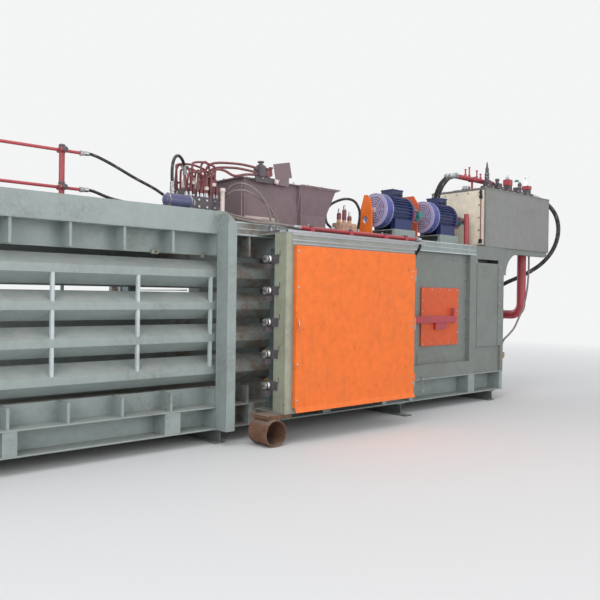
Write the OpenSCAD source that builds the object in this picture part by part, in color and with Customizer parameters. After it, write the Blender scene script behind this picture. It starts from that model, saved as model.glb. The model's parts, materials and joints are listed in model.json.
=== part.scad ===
/* [Frame] */
// Inside width of the bale chamber
chamber_w = 1100; // [1000:10:1200]
// Thickness of the liner plates that the bale slides on
liner_t = 30; // [20:1:36]
// Depth of the side wall outside the liner
wall_depth = 170; // [150:5:220]
// Height of the cross skids under the frame
skid_h = 120; // [80:5:180]
// Width of each cross skid
skid_w = 100; // [80:5:140]
// Height of the base beams under the chamber
base_h = 190; // [150:5:200]
// Height of the base beams under the press section
press_base_h = 230; // [215:5:280]
// Plate thickness of beams, ribs and skins
plate_t = 12; // [8:1:16]
// Height of the frame above the skids, up to the chamber's top beams
frame_h = 1800; // [1770:10:1860]
// Height of the top beams over the chamber
top_beam_h = 187; // [170:1:200]
// How much lower the top beams are behind the column
beam_step = 70; // [40:5:90]
// Distance from the column's centre to the outlet end
outlet_x = 2600; // [2560:10:2900]
// Distance from the column's centre to the frame's rear end
rear_x = 4230; // [4200:10:4400]
// Distance from the column's centre to the start of the press section
press_x = 2020; // [1960:10:2060]
// Distance from the column's centre to the end of the slotted rails
rails_end_x = 640; // [620:10:700]
/* [Slotted walls] */
// Height of the lowest wire slot above the floor
slot_z0 = 477; // [450:1:490]
// Distance from one wire slot to the next
slot_pitch = 265; // [258:1:270]
// Height of each wire slot
slot_h = 45; // [36:1:50]
// How far the hat rails stand out from the liner
hat_depth = 135; // [110:5:145]
// Height of the flat front of a hat rail
hat_front_h = 60; // [50:1:70]
// Plate thickness of the hat rails
hat_t = 12; // [8:1:14]
// Distance between the stiffener ribs of the recessed panels
rib_pitch = 417; // [380:1:450]
// Thickness of the stiffener ribs
rib_t = 20; // [12:1:26]
// Distance between the tie bars that bridge the slots
tie_pitch = 663; // [600:1:700]
// Width of a tie bar
tie_w = 24; // [20:1:40]
/* [Column] */
// Width of the column post
column_w = 88; // [80:2:110]
// How far the column stands out from the frame
column_d = 140; // [100:5:180]
// How far the column's top stays below the top of the beams
column_drop = 30; // [10:5:50]
/* [Ram and main cylinder] */
// Where the ram's face stops behind the column
ram_stop_x = 450; // [445:5:455]
// Travel of the ram
ram_stroke = 980; // [940:10:1000]
// Length of the ram
ram_len = 1300; // [1260:10:1320]
// Plate thickness of the ram
ram_t = 40; // [30:1:50]
// Depth of the needle slots in the ram's face
ram_slot_depth = 150; // [140:5:200]
// Height of the needle slots in the ram's face
ram_slot_h = 36; // [30:1:40]
// Gap between the ram and the liners
ram_gap = 4; // [3:0.5:6]
// Gap between the ram's shoes and the floor plate
ram_floor_gap = 0.5; // [0.3:0.1:0.6]
// Diameter of the piston rod
rod_d = 180; // [150:5:200]
// Outer diameter of the main cylinder's barrel
barrel_d = 290; // [270:5:320]
// Where the barrel's front end is
barrel_x = 3010; // [2990:5:3100]
// Where the barrel's rear end is
barrel_end_x = 5180; // [5100:10:5250]
// Outer diameter of the filling pipe between oil tank and main cylinder
fill_d = 115; // [100:5:140]
// Diameter of the pin that joins rod and ram
rod_pin_d = 70; // [60:1:80]
// Running gap round pins and shafts
pin_gap = 0.05; // [0.03:0.01:0.08]
// Gap round the rod in the barrel's gland
gland_gap = 0.08; // [0.05:0.01:0.1]
/* [Feed hopper] */
// Where the feed opening starts behind the column
feed_x = 340; // [330:5:360]
// Length of the feed opening
feed_len = 1010; // [980:10:1030]
// Height of the hopper above the beams
hopper_h = 420; // [380:10:480]
// How far the hopper's rim flares out at the rear
hopper_flare = 90; // [60:5:120]
// Sheet thickness of the hopper
hopper_t = 8; // [6:1:12]
/* [Tying cabinet] */
// Where the cabinet starts behind the column
cab_x = 370; // [350:5:400]
// How far the cabinet stands out from the frame
cab_d = 380; // [340:10:440]
// Height of the cabinet's underside above the floor
cab_z = 250; // [245:1:260]
// Height of the cabinet's top above the floor
cab_top = 1757; // [1745:1:1790]
// Sheet thickness of the cabinet
cab_t = 12; // [8:1:14]
// Width of the cabinet's front post
cab_post_w = 55; // [45:1:70]
// Depth of the cabinet's front post
cab_post_d = 150; // [130:5:170]
// Height of the door's lower edge above the floor
door_z = 300; // [290:5:320]
// Height of the door
door_h = 1350; // [1330:10:1370]
// Depth of the folded door pan
door_t = 34; // [26:1:40]
// Sheet thickness of the doors
door_sheet = 4; // [3:0.5:6]
// Diameter of the door's hinge knuckles
knuckle_d = 30; // [26:1:36]
// Diameter of the door's hinge pins
hinge_pin_d = 14; // [12:1:18]
/* [Hatch] */
// Where the hatch starts behind the column
hatch_x = 2665; // [2640:5:2690]
// Width of the hatch
hatch_w = 676; // [640:2:700]
// Height of the hatch
hatch_h = 642; // [600:2:660]
// Height of the hatch's lower edge above the floor
hatch_z = 700; // [680:5:740]
// Thickness of the hatch plate
hatch_t = 16; // [10:1:20]
// Height of the hatch arm
arm_h = 70; // [50:2:80]
// Where the hatch arm's pivot is behind the column
arm_x = 2130; // [2115:5:2150]
/* [Tying gear] */
// Where the needles cross the chamber, behind the column
needle_x = 520; // [515:1:530]
// Travel of the needle carriage
needle_stroke = 1190; // [1150:10:1200]
// Height of a needle bar
needle_h = 14; // [10:1:18]
// Width of a needle bar
needle_w = 30; // [24:1:32]
// Diameter of the twister hooks' spindles
hook_d = 24; // [20:1:28]
// Diameter of the wire guide rollers
guide_d = 62; // [50:1:70]
// Length of the wire guide rollers
guide_len = 50; // [40:1:56]
/* [Power pack] */
// Diameter of the electric motors
motor_d = 360; // [340:5:380]
// Length of a motor with its fan cover
motor_len = 460; // [430:5:480]
// Height of the motor shafts above the motor feet
motor_axis_h = 200; // [196:1:215]
// Height of the plinths under the motors
plinth_h = 110; // [60:2:130]
// Length of the oil tank
tank_len = 1470; // [1400:10:1500]
// Depth of the oil tank
tank_d = 800; // [750:10:900]
// Height of the oil tank
tank_h = 700; // [640:10:740]
// Outer diameter of the main pipes
pipe_d = 42; // [34:1:48]
// Outer diameter of the outlet pipes
outlet_pipe_d = 24; // [20:1:30]
/* [Outlet choke] */
// Travel of the choke platen
choke_stroke = 120; // [80:5:150]
// Length of the choke platen
choke_len = 510; // [460:5:540]
// Diameter of the choke cylinder's rod
choke_rod_d = 60; // [50:1:70]
/* [Pipe support] */
// Outer diameter of the support pipe
support_d = 219; // [200:1:225]
// Length of the support pipe
support_len = 230; // [200:5:300]
/* [Hidden] */
$fn = 48;
SLOTS = 5;
y_in = chamber_w / 2;
y_liner = y_in + liner_t;
y_out = y_liner + wall_depth;
z_base = skid_h + base_h;
z_floor = z_base + 10;
z_top = skid_h + frame_h;
z_beam = z_top - top_beam_h;
z_rear_top = z_top - beam_step;
z_roof = z_beam - 13;
roof_t = 30;
slot_zs = [for (k = [0:SLOTS - 1]) slot_z0 + k * slot_pitch];
slot_low = slot_zs[0] - slot_h / 2;
slot_high = slot_zs[SLOTS - 1] + slot_h / 2;
rail_h = slot_pitch - slot_h;
frame_green = "#9aa5a2";
deep_green = "#7f8b86";
door_orange = "#f0803c";
pipe_red = "#b8404a";
hose_black = "#2c2a2c";
module both_sides() {
  children();
  mirror([0, 1, 0]) children();
}
module slab(x, y, z) {
  translate([x[0], y[0], z[0]]) cube([x[1] - x[0], y[1] - y[0], z[1] - z[0]]);
}
module along_x(x0, x1) {
  translate([x0, 0, 0]) rotate([90, 0, 90]) linear_extrude(x1 - x0) children();
}
module rod_x(x0, x1, y, z, d) {
  translate([x0, y, z]) rotate([0, 90, 0]) cylinder(d = d, h = x1 - x0);
}
module rod_y(x, y0, y1, z, d) {
  translate([x, y0, z]) rotate([-90, 0, 0]) cylinder(d = d, h = y1 - y0);
}
module rod_z(x, y, z0, z1, d) {
  translate([x, y, z0]) cylinder(d = d, h = z1 - z0);
}
skid_xs = [-2300, 0, 2300, 4000];
anchor_tab = 110;
anchor_hole_d = 22;
module skid_beams() {
  color("#5d625f") for (x = skid_xs) difference() {
    union() {
      slab([x - skid_w / 2, x + skid_w / 2], [-y_out, y_out], [0, skid_h]);
      if (abs(x) > 2200 && x < 3000)
        slab([x - skid_w / 2, x + skid_w / 2], [-y_out - anchor_tab, y_out + anchor_tab], [0, plate_t]);
    }
    for (side = [-1, 1]) {
      slab([x - skid_w / 2 - 1, x - plate_t / 2], [-y_out - 1, y_out + 1], [plate_t, skid_h - plate_t]);
      slab([x + plate_t / 2, x + skid_w / 2 + 1], [-y_out - 1, y_out + 1], [plate_t, skid_h - plate_t]);
      rod_z(x, side * (y_out + anchor_tab / 2), -1, plate_t + 1, anchor_hole_d);
    }
  }
}
base_blocks = [
  [-outlet_x, -outlet_x + 100], [-1750, -1650], [-520, -380], [-44, 44], [296, 370], [1180, 1280]
];
press_blocks = [[press_x, press_x + 60], [2450, 2510], [3520, 3640], [rear_x - 60, rear_x]];
module channel_side(h) {
  difference() {
    translate([y_in, 0]) square([y_out - y_in, h]);
    translate([y_liner, plate_t]) square([y_out - y_in, h - 2 * plate_t]);
  }
}
module base_beams() {
  color(frame_green) both_sides() {
    mirror([0, 1, 0]) translate([0, 0, skid_h]) union() {
      along_x(-outlet_x, press_x) channel_side(base_h);
      along_x(press_x, rear_x) channel_side(press_base_h);
      for (b = base_blocks) slab(b, [y_in, y_out - 6], [0, base_h]);
      for (b = press_blocks) slab(b, [y_in, y_out - 6], [0, press_base_h]);
    }
  }
}
module floor_plate() {
  color("#8a8078") union() {
    slab([-outlet_x, rear_x - 60], [-y_in, y_in], [z_floor - roof_t, z_floor]);
    for (x = [-2250, -1450, -650, 150, 950, 1750, 2550, 3350])
      slab([x, x + plate_t], [-y_in, y_in], [skid_h, z_floor - roof_t]);
  }
}
choke_x = -2200;
module chamber_roof() {
  color(deep_green) difference() {
    union() {
      slab([-outlet_x, feed_x], [-y_in, y_in], [z_roof, z_roof + roof_t]);
      for (x = [-1700, -1300, -900, -500, -100, 100])
        slab([x, x + plate_t], [-y_in, y_in], [z_roof + roof_t, z_roof + roof_t + 90]);
    }
    slab([choke_x - choke_len / 2 - 5, choke_x + choke_len / 2 + 5], [-y_in + 55, y_in - 55],
      [z_roof - 1, z_roof + roof_t + 1]);
  }
}
module box_side(h) {
  difference() {
    translate([y_in, 0]) square([y_out - y_in, h]);
    translate([y_in + plate_t, plate_t]) square([y_out - y_in - 2 * plate_t, h - 2 * plate_t]);
  }
}
module top_beams() {
  color(frame_green) both_sides() mirror([0, 1, 0]) translate([0, 0, z_beam]) {
    along_x(-outlet_x, column_w / 2) box_side(top_beam_h);
    along_x(column_w / 2, 3640) box_side(top_beam_h - beam_step);
  }
}
module hat_profile() {
  half = rail_h / 2;
  y_hat = y_liner + hat_depth;
  difference() {
    polygon([
      [y_in, -half], [y_liner, -half], [y_hat, -hat_front_h / 2], [y_hat, hat_front_h / 2],
      [y_liner, half], [y_in, half]
    ]);
    polygon([
      [y_liner, -half + 2 * hat_t], [y_hat - hat_t, -hat_front_h / 2 + hat_t / 2],
      [y_hat - hat_t, hat_front_h / 2 - hat_t / 2], [y_liner, half - 2 * hat_t]
    ]);
  }
}
module rails() {
  for (k = [0:SLOTS - 2]) translate([0, 0, slot_zs[k] + slot_pitch / 2])
    along_x(-outlet_x + 40, rails_end_x) hat_profile();
}
module rails_near() { color(frame_green) mirror([0, 1, 0]) rails(); }
module rails_far() { color(frame_green) rails(); }
rib_xs = [for (k = [0:5]) -2140 + k * rib_pitch];
module recess_panel(z0, z1) {
  slab([-outlet_x + 40, rails_end_x], [y_in, y_liner], [z0, z1]);
  for (x = concat(rib_xs, [120, 280, 600])) slab([x, x + rib_t], [y_liner, y_out - 10], [z0, z1]);
}
module wall_panels() {
  color(frame_green) both_sides() mirror([0, 1, 0]) {
    recess_panel(z_base, slot_low);
    recess_panel(slot_high, z_beam);
  }
}
tie_x0 = -2071;
tie_xs = [for (k = [0:3]) tie_x0 + k * tie_pitch];
module slot_tie_bars() {
  y_hat = y_liner + hat_depth;
  tie_t = 26;
  front = slot_pitch / 2 - hat_front_h / 2;
  back = front - tie_t * (rail_h - hat_front_h) / 2 / hat_depth;
  color("#c3cbc6") both_sides() mirror([0, 1, 0]) for (x = tie_xs, k = [1:3]) translate([0, 0, slot_zs[k]])
    along_x(x - tie_w / 2, x + tie_w / 2) polygon([
      [y_hat, -front], [y_hat, front], [y_hat - tie_t, back], [y_hat - tie_t, -back]
    ]);
}
module columns() {
  z1 = z_top - column_drop;
  color("#aeb9b2") both_sides() mirror([0, 1, 0]) difference() {
    slab([-column_w / 2, column_w / 2], [y_out, y_out + column_d], [skid_h, z1]);
    slab([-column_w / 2 + plate_t, column_w / 2 - plate_t],
      [y_out + plate_t, y_out + column_d - plate_t], [skid_h + plate_t, z1 - 110]);
    translate([-column_w / 2, y_out - 1, z1]) rotate([0, 38, 0]) cube([200, column_d + 2, 100]);
  }
}
module outlet_frame() {
  color(frame_green) both_sides() mirror([0, 1, 0]) difference() {
    slab([-outlet_x, -outlet_x + 40], [y_in, y_out], [z_base, z_beam]);
    for (z = slot_zs)
      slab([-outlet_x - 1, -outlet_x + 41], [y_in - 1, y_liner], [z - slot_h / 2, z + slot_h / 2]);
  }
}
feed_rib_xs = [rails_end_x, 1000, 1400, 1800, press_x - rib_t];
module feed_walls() {
  color(frame_green) both_sides() mirror([0, 1, 0]) union() {
    slab([rails_end_x, press_x], [y_in, y_liner], [z_base, z_beam]);
    for (x = feed_rib_xs) slab([x, x + rib_t], [y_liner, y_out], [z_base, z_beam]);
  }
}
press_z = skid_h + press_base_h;
ledge_z = 500;
post_x = [3520, 3640];
bay_end = rear_x - 60;
skin_recess = 50;
skin_t = 15;
hatch_mid_z = hatch_z + hatch_h / 2 - 30;
arm_pin_d = 24;
arm_hub_d = 60;
arm_y = y_out + 25;
lug_t = 16;
hatch_lap = 40;
bay_slot_z = [1652, 1695];
module press_wall(with_hatch) {
  difference() {
    union() {
      slab([press_x, post_x[0]], [y_in, y_liner], [press_z, z_beam]);
      slab([post_x[1], bay_end], [y_in, y_liner], [press_z, z_rear_top]);
      slab([press_x, post_x[0]], [y_out - skin_recess - skin_t, y_out - skin_recess],
        [ledge_z - plate_t, z_beam]);
      slab([press_x, post_x[0]], [y_out - skin_recess - skin_t, y_out], [ledge_z - plate_t, ledge_z]);
      slab([press_x, post_x[0]], [y_out - plate_t, y_out], [press_z, ledge_z - plate_t + 1]);
      slab([press_x, press_x + 60], [y_liner, y_out], [press_z, z_beam]);
      slab(post_x, [y_in, y_out], [press_z, z_beam]);
      slab([post_x[1], bay_end], [y_out - plate_t, y_out], [660, z_rear_top]);
      slab([post_x[1], bay_end], [y_out - 32, y_out - 20], [press_z, 672]);
      slab([post_x[1], bay_end], [y_out - 32, y_out], [660, 672]);
      if (with_hatch)
        slab([hatch_x, hatch_x + hatch_w], [y_liner, y_out - skin_recess], [hatch_z, hatch_z + hatch_h]);
    }
    slab([post_x[1] + 30, bay_end - 60], [y_out - 60, y_out + 1], bay_slot_z);
    if (with_hatch) slab([hatch_x + hatch_lap, hatch_x + hatch_w - hatch_lap], [y_in - 1, y_out + 1],
      [hatch_z + hatch_lap, hatch_z + hatch_h - hatch_lap]);
  }
}
module press_wall_near() {
  color(deep_green) mirror([0, 1, 0]) {
    press_wall(true);
    for (z = [hatch_mid_z - arm_h / 2 - 0.5 - lug_t, hatch_mid_z + arm_h / 2 + 0.5]) {
      slab([press_x + 15, arm_x], [y_out - 10, arm_y + 30], [z, z + lug_t]);
      rod_z(arm_x, arm_y, z, z + lug_t, arm_hub_d);
    }
    rod_z(arm_x, arm_y, hatch_mid_z - arm_h / 2 - lug_t, hatch_mid_z + arm_h / 2 + lug_t, arm_pin_d);
  }
}
module press_wall_far() { color(deep_green) press_wall(false); }
module press_roof() {
  x0 = feed_x + feed_len;
  color(deep_green) {
    slab([x0, bay_end], [-y_in, y_in], [z_roof, z_roof + roof_t]);
    for (x = [x0 : 380 : bay_end - 100])
      slab([x, x + plate_t], [-y_in, y_in], [z_roof + roof_t - 1, z_rear_top - plate_t + 1]);
    slab([x0, bay_end], [-y_in, y_in], [z_rear_top - plate_t, z_rear_top]);
  }
}
ram_face_x = ram_stop_x + ram_stroke;
ram_z0 = z_floor + ram_floor_gap;
ram_z1 = z_roof - ram_gap;
axis_z = (ram_z0 + ram_z1) / 2;
flange_d = 430;
bearer_z = 60;
tank_x = rear_x - 410;
tank_end = tank_x + tank_len;
tank_y0 = -y_out;
tank_y1 = -y_out + tank_d;
tank_z1 = z_rear_top + tank_h;
module rear_plate() {
  color(deep_green) difference() {
    union() {
      slab([bay_end, rear_x], [-y_out, y_out], [press_z, z_rear_top]);
      slab([bay_end, rear_x], [-y_in, y_in], [skid_h, press_z + 1]);
      for (y = [tank_y0 + 10, tank_y1 - 90])
        slab([rear_x - 1, tank_end - 20], [y, y + 80], [z_rear_top - bearer_z, z_rear_top]);
      translate([rear_x, tank_y0 + 22, 0]) rotate([90, 0, 0]) linear_extrude(plate_t) difference() {
        translate([-1, z_rear_top - 330]) square([331, 330]);
        translate([330, z_rear_top - 330]) circle(r = 270);
      }
    }
    rod_x(bay_end - 1, rear_x + 1, 0, axis_z, barrel_d + 0.6);
  }
}
hopper_x0 = feed_x - 8;
hopper_x1 = feed_x + feed_len + hopper_t;
hopper_split = 1000;
hopper_neck = 150;
module hopper_form(t) {
  z0 = z_rear_top;
  slab([hopper_x0 + t, hopper_x1 - t], [-y_in - hopper_t + t, y_in + hopper_t - t],
    [z0 - t, z0 + hopper_neck + 1]);
  slab([hopper_x0 + t, hopper_split], [-y_in - hopper_t + t, y_in + hopper_t - t],
    [z0 - t, z0 + hopper_h + t]);
  hull() {
    slab([hopper_split - 20 + t, hopper_x1 - t], [-y_in - hopper_t + t, y_in + hopper_t - t],
      [z0 + hopper_neck, z0 + hopper_neck + 1]);
    slab([hopper_split - 20 + t, hopper_x1 + hopper_flare - t],
      [-y_in - hopper_t - 50 + t, y_in + hopper_t + 50 - t], [z0 + hopper_h - 1, z0 + hopper_h + t / 8]);
  }
}
module hopper() {
  color("#6a5f66") difference() {
    union() {
      hopper_form(0);
      slab([hopper_x0 - 30, hopper_split], [-y_in - hopper_t - 30, y_in + hopper_t + 30],
        [z_rear_top + hopper_h - 10, z_rear_top + hopper_h]);
      slab([hopper_split - 20, hopper_x1 + hopper_flare + 30], [-y_in - hopper_t - 80, y_in + hopper_t + 80],
        [z_rear_top + hopper_h - 10, z_rear_top + hopper_h]);
      slab([hopper_x0 - 40, hopper_x1 + 40], [-y_in - hopper_t - 60, y_in + hopper_t + 60],
        [z_rear_top, z_rear_top + 12]);
      slab([hopper_x0, hopper_x0 + hopper_t], [-y_in, y_in], [z_roof + roof_t, z_rear_top + 1]);
      for (x = [hopper_x0, hopper_split])
        slab([x, x + 10], [-y_in - hopper_t - 40, -y_in], [z_rear_top, z_rear_top + hopper_h - 5]);
    }
    hopper_form(hopper_t);
    slab([hopper_x0 + hopper_t, hopper_x1 - hopper_t], [-y_in, y_in], [z_roof, z_rear_top + 20]);
  }
}
y_cab = y_out + cab_d;
door_x0 = cab_x + 85;
hinge_x = press_x - 6;
hinge_y = y_cab + 1 + door_t / 2;
door_x1 = hinge_x - door_t / 2;
hinge_zs = [door_z + 130, door_z + door_h / 2, door_z + door_h - 200];
knuckle_h = 60;
module tie_cabinet() {
  color("#8f9b95") mirror([0, 1, 0]) {
    slab([cab_x, press_x], [y_out, y_cab], [cab_z, cab_z + cab_t]);
    slab([cab_x, press_x], [y_out, y_cab], [cab_top - cab_t, cab_top]);
    slab([press_x - cab_t, press_x], [y_out, y_cab], [cab_z, cab_top]);
    slab([cab_x + cab_post_w, press_x], [y_cab - cab_t, y_cab], [door_z + door_h - 20, cab_top]);
    slab([cab_x + cab_post_w, press_x], [y_cab - cab_t, y_cab], [cab_z, door_z + 20]);
    slab([cab_x + cab_post_w, door_x0 + 20], [y_cab - cab_t, y_cab], [cab_z, cab_top]);
    slab([press_x - 60, press_x], [y_cab - cab_t, y_cab], [cab_z, cab_top]);
    for (z = hinge_zs) {
      slab([press_x - cab_t, press_x], [y_cab - 1, hinge_y], [z - knuckle_h, z]);
      rod_z(hinge_x, hinge_y, z - knuckle_h, z, knuckle_d);
      rod_z(hinge_x, hinge_y, z - 1, z + knuckle_h + 6, hinge_pin_d);
    }
  }
}
module cabinet_post() {
  y0 = y_cab - cab_post_d;
  color("#c9d3c4") mirror([0, 1, 0]) difference() {
    slab([cab_x, cab_x + cab_post_w], [y0, y_cab], [cab_z + cab_t, cab_top - cab_t]);
    slab([cab_x + 8, cab_x + cab_post_w + 1], [y0 + 8, y_cab - 8], [cab_z + cab_t - 1, cab_top - cab_t + 1]);
    for (z = slot_zs) slab([cab_x - 1, cab_x + 9], [y0 + 62, y0 + 74], [z + 20, z + 70]);
  }
}
module cabinet_rail() {
  color("#c6ccd2") mirror([0, 1, 0]) {
    slab([cab_x + 20, press_x + 180], [y_cab - 30, y_cab - 4], [cab_top, cab_top + 22]);
    slab([cab_x + 60, cab_x + 300], [y_out + 40, y_out + 220], [cab_top, cab_top + 30]);
  }
}
barrel_wall = 30;
gland_len = 110;
cap_len = 60;
port_top = 1194;
port_d = 74;
port_x = barrel_end_x - cap_len - 60;
fill_boss_y = -190;
module main_barrel() {
  color(pipe_red) difference() {
    union() {
      rod_x(barrel_x, barrel_end_x, 0, axis_z, barrel_d);
      rod_x(rear_x, rear_x + 50, 0, axis_z, flange_d);
      rod_x(barrel_end_x - cap_len, barrel_end_x, 0, axis_z, barrel_d + 40);
      rod_z(port_x, 0, axis_z, port_top, port_d);
      rod_y(port_x, fill_boss_y, 0, axis_z, fill_d + 10);
      rod_z(barrel_x + 140, 0, axis_z, port_top, port_d);
      for (a = [15:30:345]) translate([rear_x + 50, 0, axis_z]) rotate([a, 0, 0])
        translate([0, flange_d / 2 - 32, 0]) rotate([0, 90, 0]) cylinder(d = 36, h = 20, $fn = 6);
    }
    rod_x(barrel_x + gland_len, barrel_end_x - cap_len, 0, axis_z, barrel_d - 2 * barrel_wall);
    rod_x(barrel_x - 1, barrel_x + gland_len + 1, 0, axis_z, rod_d + 2 * gland_gap);
  }
}
module oil_tank() {
  color(deep_green) difference() {
    slab([tank_x, tank_end], [tank_y0, tank_y1], [z_rear_top, tank_z1]);
    slab([tank_x + 6, tank_end - 6], [tank_y0 + 6, tank_y1 - 6], [z_rear_top + 8, tank_z1 + 1]);
  }
}
module tank_lid() {
  color("#8b9791") {
    slab([tank_x - 8, tank_end + 8], [tank_y0 - 8, tank_y1 + 8], [tank_z1, tank_z1 + 8]);
    rod_z(tank_x + 300, tank_y1 - 200, tank_z1 + 7, tank_z1 + 60, 120);
    rod_z(tank_x + 900, tank_y1 - 180, tank_z1 + 7, tank_z1 + 24, 300);
  }
}
lid_z = tank_z1 + 8;
valve_xs = [tank_x + 330, tank_x + 560, tank_x + 790, tank_x + 1020, tank_x + 1250];
valve_hs = [370, 190, 260, 230, 310];
valve_y = tank_y0 + 200;
module tank_valves() {
  color("#4a4548") for (k = [0:len(valve_xs) - 1]) {
    x = valve_xs[k];
    slab([x - 70, x + 70], [valve_y - 60, valve_y + 60], [lid_z, lid_z + 70]);
    slab([x - 45, x + 45], [valve_y - 40, valve_y + 40], [lid_z + 69, lid_z + 130]);
    rod_z(x - 15, valve_y, lid_z + 129, lid_z + valve_hs[k], 56);
    rod_x(x + 69, x + 110, valve_y, lid_z + 38, 44);
  }
}
motor_y = [-440, -400];
motor_x = [2190, 3040];
fan_len = 110;
feet_z = z_rear_top + plinth_h;
shaft_z = feet_z + motor_axis_h;
module motors() {
  color("#3f4f86") for (k = [0, 1]) translate([motor_x[k], motor_y[k], shaft_z]) {
    rod_x(fan_len, motor_len, 0, 0, motor_d - 60);
    rod_x(fan_len - 10, fan_len + 26, 0, 0, motor_d - 12.6);
    rod_x(motor_len - 30, motor_len, 0, 0, motor_d - 6);
    for (a = [0:12:348]) rotate([a, 0, 0])
      slab([fan_len + 20, motor_len - 20], [-3.5, 3.5], [motor_d / 2 - 40, motor_d / 2 - 8]);
    for (y = [-150, 90]) slab([fan_len + 60, motor_len - 20], [y, y + 60], [-motor_axis_h, -90]);
    slab([fan_len + 90, motor_len - 90], [-80, 80], [motor_d / 2 - 50, motor_d / 2 + 46]);
  }
}
module fan_covers() {
  color("#b7b3d0") for (k = [0, 1]) translate([motor_x[k], motor_y[k], shaft_z]) difference() {
    rod_x(0, fan_len, 0, 0, motor_d);
    rod_x(6, fan_len + 1, 0, 0, motor_d - 12);
    for (r = [36:24:150]) difference() {
      rod_x(-1, 7, 0, 0, 2 * r + 14);
      rod_x(-2, 8, 0, 0, 2 * r);
      for (a = [0, 45, 90, 135]) rotate([a, 0, 0]) slab([-2, 8], [-motor_d, motor_d], [-5, 5]);
    }
  }
}
bell_len = 120;
pump_len = 120;
module bell_housings() {
  color(pipe_red) for (k = [0, 1]) translate([motor_x[k] + motor_len, motor_y[k], shaft_z]) {
    rod_x(0, 24, 0, 0, 300);
    rod_x(23, bell_len - 20, 0, 0, 220);
    rod_x(bell_len - 21, bell_len, 0, 0, 200);
  }
}
module pumps() {
  color("#3a7f88") for (k = [0, 1]) translate([motor_x[k] + motor_len + bell_len, motor_y[k], shaft_z]) {
    rod_x(0, 20, 0, 0, 170);
    rod_x(19, pump_len, 0, 0, 130);
    slab([50, 110], [-85, 0], [-32, 32]);
    rod_z(80, 0, 0, 92, 50);
  }
}
module motor_plinths() {
  color("#9aa5a2") for (k = [0, 1]) translate([motor_x[k], motor_y[k], z_rear_top]) difference() {
    slab([fan_len + 20, motor_len + 20], [-175, 175], [0, plinth_h]);
    slab([fan_len + 10, motor_len + 30], [-140, 140], [-1, plinth_h - 12]);
  }
}
bracket_x = [2070, 2910];
bracket_holes = [[-420, 200], [-330, 300]];
bracket_forms = [
  [[-510, 0], [-510, 300], [-480, 420], [-440, 460], [-400, 460], [-300, 140], [-300, 0]],
  [
    [-440, 0], [-440, 230], [-410, 270], [-410, 330], [-450, 350], [-450, 440],
    [-380, 540], [-230, 540], [-150, 440], [-150, 0]
  ]
];
module roof_brackets() {
  color(door_orange) for (k = [0, 1]) translate([bracket_x[k], 0, z_rear_top]) rotate([90, 0, 90])
    linear_extrude(18) difference() {
      polygon(bracket_forms[k]);
      translate(bracket_holes[k]) circle(d = 80);
    }
}
function unit(v) = v / norm(v);
function curve_at(a, b, c, d, u) =
  0.5 * (2 * b + u * (c - a) + u * u * (2 * a - 5 * b + 4 * c - d) + u * u * u * (3 * b - a - 3 * c + d));
function smooth_route(p, n) = [
  for (i = [0:len(p) - 2], j = [0:n - 1])
    curve_at(p[max(i - 1, 0)], p[i], p[i + 1], p[min(i + 2, len(p) - 1)], j / n),
  p[len(p) - 1]
];
HOSE_SIDES = 8;
function ring(c, d, s, w) = [
  for (k = [0:HOSE_SIDES - 1]) let (a = 360 * k / HOSE_SIDES) c + d / 2 * (cos(a) * s + sin(a) * w)
];
module hose(points, d, up) {
  q = smooth_route(points, 3);
  last = len(q) - 1;
  tip = len(points) - 1;
  rings = [for (i = [0:last])
    let (
      t = i == 0 ? unit(points[1] - points[0])
        : i == last ? unit(points[tip] - points[tip - 1])
        : unit(q[i + 1] - q[i - 1]),
      s = unit(cross(t, up))
    ) ring(q[i], d, s, cross(s, t))];
  polyhedron(
    points = [for (r = rings) each r],
    faces = concat(
      [[for (k = [0:HOSE_SIDES - 1]) k]],
      [for (i = [0:last - 1], k = [0:HOSE_SIDES - 1])
        let (a = i * HOSE_SIDES + k, b = i * HOSE_SIDES + (k + 1) % HOSE_SIDES)
          [a, a + HOSE_SIDES, b + HOSE_SIDES, b]],
      [[for (k = [HOSE_SIDES - 1:-1:0]) last * HOSE_SIDES + k]]
    )
  );
}
outlet_pipe_y = -440;
outlet_pipe_zs = [2010, 2285];
outlet_pipe_end = -1100;
pipe_post_x = -1240;
choke_barrel_d = 150;
choke_port_y = -105;
cab_pipe_x = [600, 2140];
cab_pipe_ys = [-1040, -980];
cab_pipe_z = 1815;
cab_pipe_d = 34;
tank_pipe_z = 2700;
tank_pipe_x0 = 3600;
tank_pipes = [[-420, valve_xs[2]], [-480, valve_xs[1]]];
valve_port_z = lid_z + 100;
pump_pipe = [3700, -560];
fill_y = -500;
fill_bend = 150;
module fill_pipe() {
  rod_y(port_x, fill_y + fill_bend, fill_boss_y, axis_z, fill_d);
  rod_y(port_x, fill_boss_y - 16, fill_boss_y, axis_z, fill_d + 50);
  translate([port_x, fill_y + fill_bend, axis_z + fill_bend]) rotate([0, 90, 0]) rotate([0, 0, -90])
    rotate_extrude(angle = 90) translate([fill_bend, 0]) circle(d = fill_d);
  rod_z(port_x, fill_y, axis_z + fill_bend, z_rear_top, fill_d);
  rod_z(port_x, fill_y, z_rear_top - 16, z_rear_top, fill_d + 50);
}
module tank_pipe(y, x) {
  rod_x(tank_pipe_x0, x, y, tank_pipe_z, pipe_d);
  translate([x, y, tank_pipe_z]) sphere(d = pipe_d);
  rod_z(x, y, valve_port_z, tank_pipe_z, pipe_d);
  translate([x, y, valve_port_z]) sphere(d = pipe_d);
  rod_y(x, valve_y + 40, y, valve_port_z, pipe_d);
}
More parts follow.
